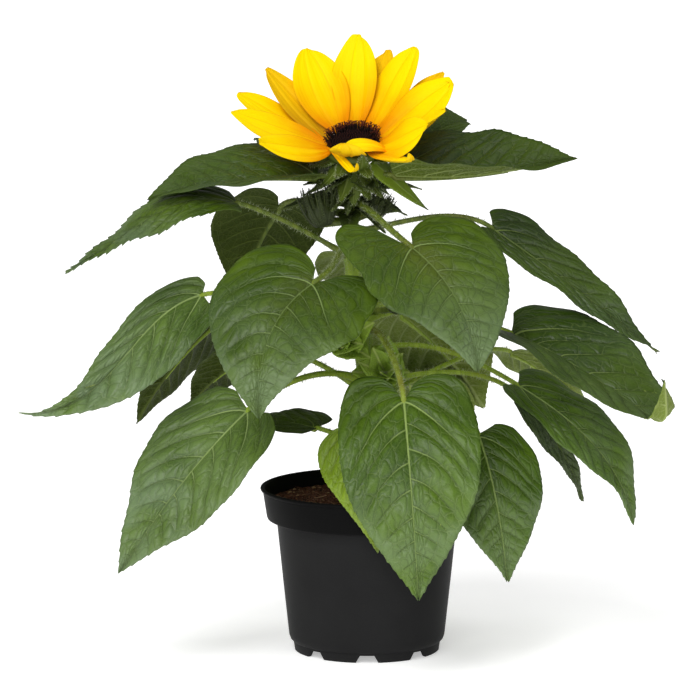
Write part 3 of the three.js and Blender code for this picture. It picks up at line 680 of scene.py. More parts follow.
class Blade:
    """A thin plate bent along its midrib. face is where the upper side looks, as two angles or as
    a direction, and curl bends the part past a share of the midrib up by an angle in degrees."""

    def __init__(self, base, tip, face, width, bow=(0, 0), sway=(0, 0), droop=0.0, fold=0.0,
                 roll=0.0, twist=0.0, lobe=1.0, belly=0.0, curl=None):
        facing = heading(*face) if len(face) == 2 else np.asarray(face)
        start, end = np.array(base, float), np.array(tip, float)
        chord = end - start
        along = unit(chord)
        up = square_to(facing, along)
        side = np.cross(along, up)
        inner = [start + chord * (i + 1) / 3 + up * bow[i] + side * sway[i] for i in (0, 1)]
        points = curve(start, *inner, end)
        self.facings = np.repeat(facing[None], len(points), 0)
        if curl:
            points = self.curled(points, *curl)
        self.midrib = Path(points)
        self.length = self.midrib.length
        self.width, self.lobe = pair(width), pair(lobe)
        self.droop, self.fold, self.roll, self.twist, self.belly = droop, fold, roll, twist, belly

    def curled(self, points, start, degrees, end=1.0):
        steps = np.diff(points, axis=0)
        share = np.linspace(0, 1, len(points))
        side = np.cross(steps[int(start * len(steps))], self.facings[0])
        axis = unit(side)
        angle = np.radians(degrees) * smooth(share, start, end)

        def turned_by(vectors, angles):
            c, s = np.cos(angles)[:, None], np.sin(angles)[:, None]
            about = axis * dot(vectors, axis)
            return about + (vectors - about) * c + np.cross(axis, vectors) * s

        self.facings = turned_by(self.facings, angle)
        bent = turned_by(steps, angle[1:])
        return np.concatenate([points[:1], points[:1] + np.cumsum(bent, axis=0)])

    def bend(self, x, y, above):
        """The bent place of a flat one: x across, y along, and a height over the plate."""
        share = np.clip(y / self.length, 0, 1)
        along = self.midrib.along(share)
        up = square_to(self.midrib.read(self.facings, share), along)
        turn = np.radians(self.roll + self.twist * share)[..., None]
        up = up * np.cos(turn) + np.cross(along, up) * np.sin(turn)
        side = np.cross(along, up)
        out = np.abs(x) / np.where(x > 0, *self.width)
        lift = np.radians(self.fold) * (1 - FOLD_FADE * share)
        rise = np.abs(x) * np.sin(lift) - self.droop * out * out + above
        flat = along * np.minimum(y, 0)[..., None] + side * (x * np.cos(lift))[..., None]
        return self.midrib.at(share) + flat + up * rise[..., None]


def add_both_sides(heap, upper, lower, maps, skins):
    """A thin plate from the grids of its upper and lower side. skins are those of the upper side,
    the lower side and the rim."""
    here = np.arange(maps[..., 0].size).reshape(maps.shape[:2])
    quad = np.stack([here[:-1, :-1], here[:-1, 1:], here[1:, 1:], here[1:, :-1]], -1)
    top = quad.reshape(-1, 4)
    edge = np.concatenate([here[0, :-1], here[:-1, -1], here[-1, :0:-1], here[:0:-1, 0]])
    after = np.roll(edge, -1)
    rim = np.stack([edge, edge + here.size, after + here.size, after], -1)
    points = np.concatenate([upper.reshape(-1, 3), lower.reshape(-1, 3)])
    maps = np.tile(maps.reshape(-1, 4), (2, 1))
    heap.add(points, [top, top[:, ::-1] + here.size, rim], maps, skins)


def add_leaf_blade(heap, blade, seed, tail=0.22, wave=1.6, toothing=0.4, grid=(132, 26)):
    """The blade of a leaf, with its toothed margin, wavy edge and quilted upper side."""
    draw = np.random.default_rng(seed)
    size = blade.length / USUAL_LENGTH
    row = np.linspace(0.11, 0.993, grid[0])[:, None]
    spread = np.linspace(-1, 1, 2 * grid[1] + 1)
    share = (np.sign(spread) * np.abs(spread) ** 1.25)[None]
    out = np.abs(share)
    right = share > 0
    outline = through(LOBED_OUTLINE if max(blade.lobe) > 0.8 else ROUND_OUTLINE, row[:, 0])
    across, edge = outline[:, :1], outline[:, 1:]
    across = across * (1 - tail * smooth(row, 0.55, 0.97))
    lobe = np.where(right, *blade.lobe)
    edge = np.where(edge < 0, edge * lobe, edge + blade.belly * np.sin(np.pi * edge))
    rib = row**3
    width = np.where(right, *blade.width)
    x = across * share * width
    y = (rib + (edge - rib) * out**1.35) * blade.length

    steps = np.hypot(np.diff(across * width, axis=0), np.diff(edge * blade.length, axis=0))
    reach = np.concatenate([np.zeros((1, steps.shape[1])), np.cumsum(steps, axis=0)])
    place = reach / (TOOTH_PITCH * size) + draw.uniform(0, 1)
    tooth = (place % 1) ** 1.6 * (1 - smooth(place % 1, 0.86, 1.0))
    toothed = smooth(row, 0.3, 0.42) * (1 - smooth(row, 0.93, 0.99)) * smooth(out, 0.86, 1)
    toothed = toothed * toothing * (0.75 + 0.5 * np.sin(1.7 * place + draw.uniform(0, 6)) ** 2)
    x = x + np.sign(share) * 1.5 * size * tooth * toothed
    y = y + 1.3 * size * tooth * toothed

    starts = np.array(VEIN_STARTS) + draw.uniform(-0.01, 0.01, len(VEIN_STARTS))
    wide = np.abs(x) / width
    run = y / blade.length
    start = run - (0.17 * wide + 0.33 * wide**2) * (1 - 0.25 * np.clip(run, 0, 1))
    number = np.interp(start, starts, np.arange(len(starts)))
    number = number - 2 * np.maximum(starts[0] - start, 0) / (0.42 * wide + 0.05)
    number = number + np.where(right, 0, 0.42) * smooth(start, 0.05, 0.2)
    number = number + 0.22 * ripples(x, y, (19, 9), seed + 3) * smooth(out, 0, 0.5)
    inner = smooth(out, 0.02, 0.25) * (1 - smooth(out, 0.78, 1)) * smooth(row, 0.12, 0.3)
    inner = inner * (0.7 + 0.3 * smooth(row, 0.3, 0.6)) * (1 - smooth(row, 0.78, 0.95))
    pillow = (np.abs(np.sin(np.pi * number)) ** 0.7 - 0.5) * inner
    midrib = np.exp(-((x / 1.9) ** 2)) * smooth(1 - row, 0.0, 0.3)
    phase = draw.uniform(0, 1, 4)
    swell = np.sin(2 * np.pi * (1.5 * run + np.where(right, phase[0], phase[1])))
    swell = swell + 0.55 * np.sin(2 * np.pi * (3.6 * run + np.where(right, phase[2], phase[3])))
    fine = ripples(x, y, (3.4, 2.3), seed + 7) * 0.5 * inner
    relief = QUILT * size * (1.7 * pillow + 0.7 * fine) - 0.7 * midrib
    relief = relief + wave * size * swell * out**2.4 * smooth(row, 0.1, 0.4)
    thick = LEAF_THICK * (1 - 0.4 * out)
    spine = 1.1 * np.exp(-((x / 1.1) ** 2)) * (1 - row**3)
    gap = np.abs((number + 0.5) % 1 - 0.5)
    strong = 1 + (np.abs(number) < 0.5)
    ridge = 0.22 * strong * np.exp(-((gap / 0.07) ** 2)) * (1 - out) * smooth(row, 0.2, 0.4)
    upper = blade.bend(x, y, relief + thick / 2)
    lower = blade.bend(x, y, relief - thick / 2 - spine - ridge)

    maps = np.stack([x / 100, y / 100, share + 0 * row, number], -1)
    add_both_sides(heap, upper, lower, maps, (0, 1, 0))


def on_blade(skin):
    """Where a spot of a leaf lies: across, along, as a share of the half width, as a number
    between the side veins, and how far it is from the nearest of them."""
    x, y = skin.split(skin.map("flat"))[:2]
    share, number = skin.split(skin.map("veins"))[:2]
    return x, y, share, number, abs((number + 0.5).fract() - 0.5)


def leaf_skin(name, deep, bright, vein, roughness, rib_tone=0.8, blush=0.0, painted_sheen_strength=0.2):
    """The upper side: glossy between pale sunken veins and quilted by a net of finer ones; painted
    shade beside them, a painted highlight on the cushions and a painted greyish sheen at the tip."""
    skin = Surface(name, Specular_IOR_Level=0.5)
    place = skin.place()
    x, y, share, number, gap = on_blade(skin)
    out = abs(share)
    strong = skin.step(abs(number), 0.6, 0.4)
    width = (0.028 + 0.026 * strong) * (1.25 - out)
    side = skin.step(gap / width, 1.3, 0.4) * skin.step(out, 1.0, 0.75)
    beside = skin.step(gap / width, 5.0, 1.2) * skin.step(out, 0.99, 0.7)
    taper = (0.0040 + 0.0066 * rib_tone - 0.0068 * y).most(0.0012)
    rib = skin.step(abs(x) / taper, 1.0, 0.4)
    wander = skin.noise(place, 90.0, 2.0)
    ladder = skin.joined(share * 6.0 + wander * 1.7, number * 1.7 + wander * 1.2)
    ladder_gap = skin.cells(ladder, 1.0, "2D")
    net_gap = skin.cells(place, 520.0)
    net = skin.step(ladder_gap, 0.07, 0.0)
    cushion = skin.step(ladder_gap, 0.0, 0.34)
    fine = skin.step(net_gap, 0.16, 0.0)
    cloud = skin.noise(place, 24.0, 3.0)
    speck = skin.noise(place, 900.0, 2.0)
    far = skin.step(y, 0.15, 0.85)
    # The middles of the cushions are lighter, a painted highlight; the base is also lighter towards
    # the tip.
    base = skin.mix(skin.step(cloud + 0.10 * cushion + 0.16 * far, 0.38, 0.78), deep, bright)
    # Painted shade: a darker green beside the side veins and along the valleys of the net.
    valley = skin.step(ladder_gap, 0.26, 0.04) * skin.step(out, 1.0, 0.8)
    shade = skin.mix(0.5, deep, (0.004, 0.010, 0.0005))
    # Painted sheen: a greyish painted reflection, mixed in patches towards the tip.
    hazy = far * skin.step(skin.noise(place, 45.0, 2.0), 0.3, 0.6)
    base = skin.mix(hazy * painted_sheen_strength, base, (0.17, 0.24, 0.14))
    base = skin.mix((beside * 0.5).most(valley * 0.2), base, shade)
    ruddy = skin.step(out, 0.45, 0.0) * skin.step(y, 0.5, 0.15) * skin.step(cloud, 0.3, 0.6)
    base = skin.mix(ruddy * blush, base, (0.075, 0.050, 0.016))
    base = skin.mix(0.07 * fine + 0.16 * net, base, vein)
    pale = skin.step(out, 0.85, 0.1) * 0.8 + 0.2
    fading = rib * rib_tone * (1.0 - 0.5 * far)
    colour = skin.mix((side * pale * (0.5 + 0.4 * strong)).most(fading), base, vein)
    sunk = (side * 0.7).most(rib * 0.8).most(net * 0.3)
    height = cushion * 0.55 - sunk * 0.8 - 0.09 * fine + 0.05 * speck
    gloss = roughness + 0.14 * cloud + 0.12 * sunk
    return skin.finish(colour, gloss, height, 0.00045, 0.85)


def leaf_back(name, deep, bright, vein):
    """The lower side: dull and olive, with raised pale veins."""
    skin = Surface(name, Specular_IOR_Level=0.25)
    place = skin.place()
    x, y, share, number, gap = on_blade(skin)
    out = abs(share)
    side = skin.step(gap, 0.09, 0.02) * skin.step(out, 1.0, 0.5)
    rib = skin.step(abs(x), 0.017, 0.006)
    net = skin.step(skin.cells(place, 330.0), 0.12, 0.0)
    cloud = skin.noise(place, 30.0, 3.0)
    base = skin.mix(cloud, deep, bright)
    raised = side.most(rib).most(net * 0.4)
    colour = skin.mix(raised * 0.75, base, vein)
    return skin.finish(colour, 0.62 + 0.1 * cloud, raised, 0.0005)


LEAF_SKINS = {
    "young": leaf_skin("leaf_young", (0.014, 0.036, 0.001), (0.043, 0.082, 0.002),
                       (0.19, 0.26, 0.06), 0.32, 0.6, painted_sheen_strength=0.1),
    # The shaded skin is a darker, duller copy whose colour is painted shade, for leaves that hang in
    # shade.
    "shaded": leaf_skin("leaf_shaded", (0.011, 0.029, 0.0005), (0.036, 0.068, 0.001),
                        (0.15, 0.21, 0.04), 0.46, 0.6, painted_sheen_strength=0.0),
    "middle": leaf_skin("leaf_middle", (0.029, 0.062, 0.001), (0.068, 0.120, 0.003),
                        (0.22, 0.31, 0.09), 0.36, 0.4, 0.25, 0.46),
    "broad": leaf_skin("leaf_broad", (0.032, 0.074, 0.001), (0.080, 0.150, 0.006),
                       (0.27, 0.37, 0.10), 0.34, 0.85, painted_sheen_strength=0.3),
    # This skin is also lighter and greyer all over: painted sheen for the leaves whose tips catch
    # the most.
    "hazy": leaf_skin("leaf_painted_sheen", (0.045, 0.088, 0.012), (0.098, 0.165, 0.026),
                      (0.29, 0.39, 0.13), 0.34, 0.75, painted_sheen_strength=0.55),
    "pale": leaf_skin("leaf_pale", (0.145, 0.240, 0.003), (0.21, 0.32, 0.008),
                      (0.45, 0.56, 0.14), 0.42, 0.6),
}
LEAF_UNDERS = {
    "light": leaf_back("leaf_under", (0.130, 0.185, 0.018), (0.200, 0.265, 0.040),
                       (0.36, 0.43, 0.15)),
    "middle": leaf_back("leaf_under_middle", (0.062, 0.095, 0.005), (0.105, 0.150, 0.012),
                        (0.30, 0.37, 0.11)),
    # The dark copy of the lower side is painted shade, for leaves that hang in shade; it goes under
    # the young and shaded skins.
    "dark": leaf_back("leaf_under_dark", (0.028, 0.046, 0.001), (0.050, 0.074, 0.002),
                      (0.12, 0.16, 0.03)),
}
STALK_SKINS = {
    "plain": green_skin("stalk_skin", (0.34, 0.46, 0.05), (0.19, 0.29, 0.02),
                        (0.26, 0.29, 0.03), 0.42),
    "green": green_skin("stalk_green", (0.17, 0.22, 0.03), (0.07, 0.11, 0.01),
                        (0.14, 0.13, 0.02), 0.42),
    "blushed": green_skin("stalk_blushed", (0.28, 0.36, 0.05), (0.17, 0.21, 0.02),
                          (0.22, 0.09, 0.03), 0.45),
}
STALK_SIDES = 14
STALK_STEPS = 34
channel = circle(STALK_SIDES)
CHANNELLED = 1 - 0.16 * np.exp(-((np.minimum(channel, 2 * np.pi - channel) / 0.7) ** 2))
BRISTLE_SKIN = Surface("bristle", Specular_IOR_Level=0.4).finish((0.42, 0.48, 0.28), 0.5)


def add_bristles(heap, way, radius, count, length, seed):
    """Fine stiff hairs that stand off a line of the given radius, each a thin spike."""
    draw = np.random.default_rng(seed)
    line = Path(way)
    radius = np.broadcast_to(radius, len(way))
    share = draw.uniform(0, 1, count)
    along = line.along(share)
    around = unit(np.cross(along, draw.normal(size=(count, 3))))
    depth = np.interp(share, np.linspace(0, 1, len(radius)), radius)[:, None] * 0.94
    root = line.at(share) + around * depth
    lean = unit(around + along * draw.normal(0, 0.3, (count, 1)))
    tip = root + lean * draw.uniform(0.5, 1.25, (count, 1)) * length
    third = np.cross(lean, along)
    corners = [root + 0.12 * (math.cos(a) * along + math.sin(a) * third)
               for a in np.radians([0, 120, 240])]
    points = np.stack([*corners, tip], 1)
    first = np.arange(count)[:, None] * 4
    faces = [first + corner for corner in ([0, 1, 3], [1, 2, 3], [2, 0, 3], [0, 2, 1])]
    heap.add(points, faces, skin=3)


def add_stalk(heap, blade, node, rise, base, broad):
    """The stalk, from the middle of the stem to the blade and on under it as its midrib."""
    start = stem_at(node)
    end = np.array(base, float)
    away = end - start
    reach = np.linalg.norm(away)
    azimuth = math.degrees(math.atan2(away[1], away[0]))
    arrive = blade.midrib.along(0.0)
    leave = start + heading(azimuth, rise) * reach * 0.4
    share = np.linspace(0, 1, STALK_STEPS)
    way = Path(curve(start, leave, end - arrive * reach * 0.3, end)).at(share)
    run = np.linspace(0.02, 0.62, 16)
    size = 1.0 if broad else 0.85
    radius = size * np.interp(share, (0, 0.1, 0.25, 1), (3.6, 2.6, 1.9, 1.65))
    thin = size * np.interp(run, (0, 0.2, 0.62), (1.45, 1.1, 0.35))
    under = blade.bend(0 * run, run * blade.length, -thin - 0.75)
    heap.add(*tube(np.concatenate([way, under]), np.concatenate([radius, thin]), STALK_SIDES,
                   CHANNELLED), skin=2)
    add_bristles(heap, way[3:], radius[3:], int(reach * 5), 2.1, node)


for order, (name, (*sizes, more)) in enumerate(LEAVES.items()):
    leaf = {**dict(zip(LEAF_SIZES, sizes)), **more}
    node, rise, skin = (leaf.pop(key) for key in ("node", "rise", "skin"))
    stalk = leaf.pop("stalk", "plain" if node < 210 else "green")
    under = leaf.pop("under", "dark" if skin in ("young", "shaded") else "light")
    looks = {key: leaf.pop(key) for key in ("tail", "toothing") if key in leaf}
    blade = Blade(**leaf)
    heap = Heap()
    add_leaf_blade(heap, blade, 100 + order, **looks)
    add_stalk(heap, blade, node, rise, leaf["base"], blade.width[0] > 28)
    skins = [LEAF_SKINS[skin], LEAF_UNDERS[under], STALK_SKINS[stalk], BRISTLE_SKIN]
    heap.mesh(name + "_leaf", skins, ["leaf_" + name], "leaf")


# Young side shoots grow where the leaf stalks join the stem: short pale stalks, each with a tuft
# of small soft leaves that have not spread yet.

SHOOTS = {
    "left": (168, (-13, -9, 176), [
        (-20, -20, 190), (-26, -10, 176), (-14, -26, 176), (-5, -22, 200), (4, -24, 190),
        (-8, -26, 184), (-16, -18, 198), (-2, -28, 178), (-11, -26, 193), (-22, -20, 184),
        (2, -26, 170)]),
    "right": (150, (10, -10, 158), [
        (18, -20, 172), (24, -12, 160), (12, -24, 158), (12, -20, 182), (3, -25, 176),
        (-5, -28, 168), (20, -19, 172), (7, -27, 162), (-9, -24, 162), (16, -24, 164),
        (-2, -28, 156)]),
}
SHOOT_SPREAD = 0.42
shoot_skin = leaf_skin("leaf_shoot", (0.20, 0.34, 0.015), (0.34, 0.50, 0.05),
                       (0.56, 0.68, 0.18), 0.5)
shoot_under = leaf_back("leaf_shoot_under", (0.19, 0.30, 0.02), (0.29, 0.40, 0.05),
                        (0.52, 0.60, 0.18))


def bristle_blade(heap, blade, run, sunk, radius, count, length, seed, across=0):
    """Bristles along a line on a blade, at shares of its length and sunk below its plate."""
    line = blade.bend(across + 0 * run, run * blade.length, 0 * run - sunk)
    add_bristles(heap, line, radius, count, length, seed)


for order, (side, (node, joint, tips)) in enumerate(SHOOTS.items()):
    heap = Heap()
    joint = np.array(joint, float)
    foot = stem_at(node)
    middle = (foot + joint) / 2 + np.array([0, 0, -2])
    way = Path(curve(foot, middle, joint - [0, 0, 3], joint)).at(np.linspace(0, 1, 20))
    heap.add(*tube(way, np.linspace(2.2, 1.5, 20), STALK_SIDES), skin=2)
    add_bristles(heap, way, 1.7, 130, 1.6, 900 + order)
    for number, tip in enumerate(tips):
        width = SHOOT_SPREAD * np.linalg.norm(np.array(tip) - joint)
        blade = Blade(joint, tip, (-90, 22), width, bow=(2, 1), fold=14)
        add_leaf_blade(heap, blade, 940 + 10 * order + number, grid=(40, 9), toothing=0.6)
        bristle_blade(heap, blade, np.linspace(0.1, 0.9, 12), 0.4, 0.5, 50, 1.3,
                      960 + 10 * order + number)
    skins = [shoot_skin, shoot_under, STALK_SKINS["plain"], BRISTLE_SKIN]
    heap.mesh(side + "_shoot", skins, ["shoot_" + side], "leaf")


# The unopened flower buds sit above the upper leaf joints: a dark green egg wrapped in whorls of
# narrow hairy bracts, whose tips stand up around it as spines.

# Each bud: the height where its stalk leaves the stem, its middle, the angles of its axis, its
# size and its count of bracts. Each whorl: more bracts, half width, reach, height and turn.
BUDS = {
    "bud_left": (243, (-26, -12, 250), (150, 76), 9, 6),
    "bud_right": (246, (6, 0, 251), (-20, 60), 6, 5),
    "bud_middle": (192, (17, -8, 198), (-30, 60), 6, 5),
}
BUD_STALK = 0.28
BUD_SPINES = 26
WHORLS = [(3, 0.25, 1.25, 1.4, 0.0), (5, 0.20, 0.9, 1.75, 0.5), (5, 0.17, 0.5, 1.5, 0.25)]
EGG = [(0.04, -0.95), (0.3, -0.9), (0.5, -0.8), (0.8, -0.5), (0.95, -0.1), (0.92, 0.2),
       (0.8, 0.5), (0.55, 0.78), (0.25, 0.9), (0.03, 0.95)]
EGG_SIDES = 24
BRACT_OUTLINE = [(0.5, -0.05), (0.9, 0.06), (0.98, 0.2), (0.8, 0.4), (0.5, 0.64), (0.22, 0.84),
                 (0, 1)]


def add_plate(heap, blade, outline, relief, rows, columns, thick, skins=(0, 0, 0)):
    """A small smooth blade, such as a bract or a petal. relief gives the height of each spot over
    the plate, and how far it is shifted along it."""
    row = np.linspace(0.0, 0.992, rows)[:, None]
    share = np.linspace(-1, 1, 2 * columns + 1)[None]
    line = through(outline, row[:, 0])
    across, edge = line[:, :1], line[:, 1:] + 0 * share
    x = across * share * np.where(share > 0, *blade.width)
    y = edge * blade.length
    above, shift = relief(row, share)
    y = y + shift
    plate = thick * (1 - 0.5 * share**2) * (1 - 0.5 * row) / 2
    upper, lower = blade.bend(x, y, above + plate), blade.bend(x, y, above - plate)
    maps = np.stack([x / 100, y / blade.length, share + 0 * row, row + 0 * share], -1)
    add_both_sides(heap, upper, lower, maps, skins)


def plain_maps(count):
    """Map coordinates that lie off the middle vein."""
    return np.tile([0, 0, 0.9, 0.3], (count, 1))


def keeled(row, share):
    """A bract's channel along its middle, and its edges that turn a little."""
    keel = 0.5 * np.exp(-((share / 0.16) ** 2)) * (1 - row)
    return keel + 0.25 * np.sin(9 * row + 4 * share) * share**2, 0.0


def bract_skin(name, deep, bright, vein, tip):
    """Green bract skin: a pale middle vein, ribs along it, and a dark tip."""
    skin = Surface(name, Specular_IOR_Level=0.35)
    share, row = skin.split(skin.map("veins"))[:2]
    cloud = skin.noise(skin.place(), 120.0, 3.0)
    ribs = skin.noise(skin.joined(share * 7.0, row * 1.2), 1.0, 2.0)
    rib = skin.step(abs(share), 0.16, 0.03)
    base = skin.mix(cloud * 0.5 + ribs * 0.5, deep, bright)
    colour = skin.mix(rib * 0.6, base, vein)
    colour = skin.mix(skin.step(row, 0.8, 1.0) * 0.8, colour, tip)
    return skin.finish(colour, 0.5 + 0.15 * cloud, ribs + rib, 0.0003)


bud_skin = bract_skin("bud_skin", (0.007, 0.012, 0.001), (0.032, 0.048, 0.003),
                      (0.085, 0.115, 0.025), (0.006, 0.008, 0.003))
bud_bristle = Surface("bud_bristle", Specular_IOR_Level=0.3).finish((0.10, 0.13, 0.05), 0.6)
for order, (name, (node, centre, axis, size, bracts)) in enumerate(BUDS.items()):
    draw = np.random.default_rng(700 + order)
    heap = Heap()
    centre = np.array(centre, float)
    up = heading(*axis)
    right = square_to(np.array([1.0, 0, 0]), up)
    back = np.cross(up, right)
    around = circle(EGG_SIDES)[:, None]
    ring = np.cos(around) * right + np.sin(around) * back
    egg = np.concatenate([centre + size * (r * ring + h * up) for r, h in EGG])
    heap.add(egg, capped(len(EGG), EGG_SIDES), plain_maps(len(egg)))
    for more, half, reach, height, shift in WHORLS:
        for bract in range(bracts + more):
            angle = 2 * np.pi * (bract + shift + draw.uniform(-0.12, 0.12)) / (bracts + more)
            out = math.cos(angle) * right + math.sin(angle) * back
            foot = centre + size * (0.5 * out - 0.78 * up)
            tip = centre + size * (reach * out + height * draw.uniform(0.88, 1.0) * up)
            blade = Blade(foot, tip, -out, half * size, bow=(-0.35 * size, -0.2 * size))
            add_plate(heap, blade, BRACT_OUTLINE, keeled, rows=18, columns=3, thick=0.7)
            bristle_blade(heap, blade, np.linspace(0.05, 0.95, 14), 0,
                          np.linspace(0.3 * size * half, 0.1, 14), 70, 1.9,
                          int(draw.integers(1, 9999)))
    for turn in draw.uniform(0, 2 * np.pi, BUD_SPINES):
        out = math.cos(turn) * right + math.sin(turn) * back
        foot = centre + size * (0.75 * out + draw.uniform(-0.3, 0.3) * up)
        tip = centre + size * (draw.uniform(0.8, 1.5) * out + draw.uniform(1.0, 1.8) * up)
        spine = np.linspace(0, 1, 5)[:, None] * (tip - foot) + foot
        heap.add(*tube(spine, np.linspace(0.28, 0.04, 5), 5))
    foot, top = stem_at(node), centre - up * 0.7 * size
    middle = foot + (centre - foot) * 0.6 - up * 0.4 * size
    way = Path(curve(foot, foot / 3 + middle * 2 / 3, top / 3 + middle * 2 / 3, top))
    way = way.at(np.linspace(0, 1, 18))
    heap.add(*tube(way, BUD_STALK * size, STALK_SIDES), skin=1)
    add_bristles(heap, way, BUD_STALK * size, 160, 1.6, 760 + order)
    skins = [bud_skin, STALK_SKINS["green"], bud_skin, bud_bristle]
    heap.mesh("flower_" + name, skins, [name], "bud")


# Under the flower the stem bears a few narrow young leaves, hairy and dark, and all of it is set
# with bristles.

# Azimuth, height on the stem, length, and how steeply it rises.
UPPER_LEAVES = [
    (-70, 262, 30, 2), (-112, 258, 30, -12), (-20, 260, 26, 4), (-150, 264, 30, 2),
    (-48, 250, 28, -25), (-95, 248, 26, -30), (30, 260, 30, 10), (95, 256, 32, 14),
    (150, 262, 28, 12), (-135, 246, 28, 5), (-8, 244, 26, 10), (-170, 252, 30, 0),
    (-125, 268, 26, -14), (-40, 266, 24, -16), (176, 266, 44, 0), (-162, 256, 40, -8),
    (4, 264, 36, -6), (-14, 254, 30, -14), (-100, 262, 22, -40),
]
upper_skin = leaf_skin("leaf_upper", (0.022, 0.040, 0.003), (0.050, 0.080, 0.006),
                       (0.12, 0.16, 0.04), 0.42)
for order, (azimuth, height, length, rise) in enumerate(UPPER_LEAVES):
    out = heading(azimuth, 0)
    foot = stem_at(height) + out * 3
    tip = foot + heading(azimuth, rise) * length
    blade = Blade(foot, tip, (azimuth, rise + 90), 0.23 * length, bow=(2.5, 1.5), droop=-1,
                  fold=16, lobe=-0.5)
    add_leaf_blade(main_stem, blade, 500 + order, grid=(44, 9), toothing=0.8, wave=1.0)
    bristle_blade(main_stem, blade, np.linspace(0.02, 0.95, 14), 0.5, np.linspace(0.9, 0.3, 14),
                  90, 1.8, 520 + order)
add_bristles(main_stem, stem_ring, stem_width, 2600, 1.9, 540)
skins = [upper_skin, LEAF_UNDERS["dark"], stem_skin, BRISTLE_SKIN]
main_stem.mesh("main_stem", skins, ["stem"], "stem")


# The calyx is the green cup behind the flower, grown from the top of the stem. Pointed hairy
# bracts stand off its rim in two rows, and a few broader ones hang from it at the front.

CALYX = [(0.5, -16.2), (4.4, -16.2), (5.6, -14.2), (7.4, -12), (10.2, -9.2), (13.2, -6.5),
         (15.6, -4.4), (16.4, -3.3), (15.8, -1.9), (12.8, -0.3), (6, -0.3), (0.5, -0.3)]
CALYX_SIDES = 72
BRACT_FOOT = (10.7, -7.5)
# Turn, rise, length, half width, and the radius and height of the foot where it is not BRACT_FOOT.
BRACTS = [
    (284, 66, 17, 5, 15.6, -9), (335, -38, 40, 8.5, 13, -10), (312, -42, 20, 6, 9, -13),
    (266, -50, 21, 7, 8, -13), (226, -46, 22, 6.5, 8, -13), (205, -26, 25, 6, 9, -12),
    (290, -34, 20, 6, 8, -13), (250, -28, 22, 6, 8, -13), (350, 8, 18, 5), (20, -5, 24, 5.5),
    (60, -2, 24, 5.5), (100, 0, 25, 5.5), (140, -3, 24, 5.5), (185, -10, 24, 5.5),
    (228, -20, 22, 5),
]
FRESH_BRACT = 1
INNER_BRACTS = [4, 38, 80, 122, 162, 205, 248, 290, 333]
calyx_skins = [
    bract_skin("calyx_skin", (0.036, 0.060, 0.005), (0.115, 0.165, 0.012),
               (0.20, 0.25, 0.06), (0.012, 0.012, 0.006)),
    bract_skin("calyx_fresh", (0.12, 0.19, 0.010), (0.21, 0.31, 0.02),
               (0.26, 0.34, 0.08), (0.02, 0.02, 0.01)),
]


def head_blade(base, turn, rise, length, width, **shape):
    """A blade that leaves the head outwards at a turn, with its upper side towards the axis."""
    out, angle = head_out(turn), math.radians(rise)
    along = out * math.cos(angle) + head_axis * math.sin(angle)
    face = head_axis * math.cos(angle) - out * math.sin(angle)
    return Blade(base, base + along * length, face, width, **shape)


calyx = Heap()
turns = np.linspace(0, 360, CALYX_SIDES, endpoint=False)
lobes = 1 + 0.03 * np.cos(np.radians(turns) * 9)
cup = [[head_point(r * lobes[i], t, h) for i, t in enumerate(turns)] for r, h in CALYX]
cup = np.reshape(cup, (-1, 3))
calyx.add(cup, capped(len(CALYX), CALYX_SIDES), plain_maps(len(cup)))
draw = np.random.default_rng(55)
inner_bracts = [(turn, draw.uniform(-6, 16), draw.uniform(13, 18), 4.2, 12.4, -5.6)
                for turn in INNER_BRACTS]
for order, (turn, rise, length, half, *foot) in enumerate(BRACTS + inner_bracts):
    radius, height = foot or BRACT_FOOT
    fresh = order == FRESH_BRACT
    blade = head_blade(head_point(radius, turn, height), turn, rise, length, half,
                       bow=pair(-1 if fresh else -2.5))
    add_plate(calyx, blade, BRACT_OUTLINE, keeled, rows=30, columns=5, thick=1.0,
              skins=(int(fresh),) * 3)
    for side in (-1, 1):
        run = np.linspace(0.05, 0.95, 16)
        edge = side * half * np.interp(run, (0, 0.2, 0.5, 1), (0.85, 0.95, 0.65, 0.02))
        bristle_blade(calyx, blade, run, 0, 0.2, 60, 1.5, 300 + 2 * order + side, edge)
heights = np.linspace(-16, -6, 12)
add_bristles(calyx, np.array([head_point(0, 0, height) for height in heights]),
             np.interp(heights, (-16, -12, -6), (4.6, 7.4, 13.4)), 900, 1.6, 350)
calyx.mesh("flower_calyx", [*calyx_skins, bud_skin, BRISTLE_SKIN], ["calyx"], "bract")


# The disc is the dark middle of the flower: some hundreds of florets on a low dome, in spirals.
# Those at the rim are open, each with two curled reddish arms; those inside are still shut.

DISC = [(0.4, 0), (13.2, 0), (14.2, 0.6), (14.3, 1.2), (13.2, 2.3), (10, 3), (5, 2.3), (0.4, 1.9)]
DISC_SIDES = 60
FLORETS = {"count": 340, "reach": 13.7, "open_past": 9.4, "sides": 6, "turn": 137.508}
disc_skin = Surface("disc_skin", Specular_IOR_Level=0.3)
tip_share = disc_skin.split(disc_skin.map("flat"))[1]
grain = disc_skin.noise(disc_skin.place(), 900.0, 2.0)
dark = disc_skin.mix(grain, (0.004, 0.002, 0.002), (0.014, 0.005, 0.005))
disc_colour = disc_skin.mix(tip_share, dark, (0.12, 0.022, 0.012))
disc_material = disc_skin.finish(disc_colour, 0.55 + 0.2 * grain, grain, 0.0002)


def floret_tube(rings):
    """A closed tube round an upright axis, from its radii and heights."""
    corners = circle(FLORETS["sides"])
    points = [(r * math.cos(a), r * math.sin(a), h) for r, h in rings for a in corners]
    return np.array(points), capped(len(rings), FLORETS["sides"])


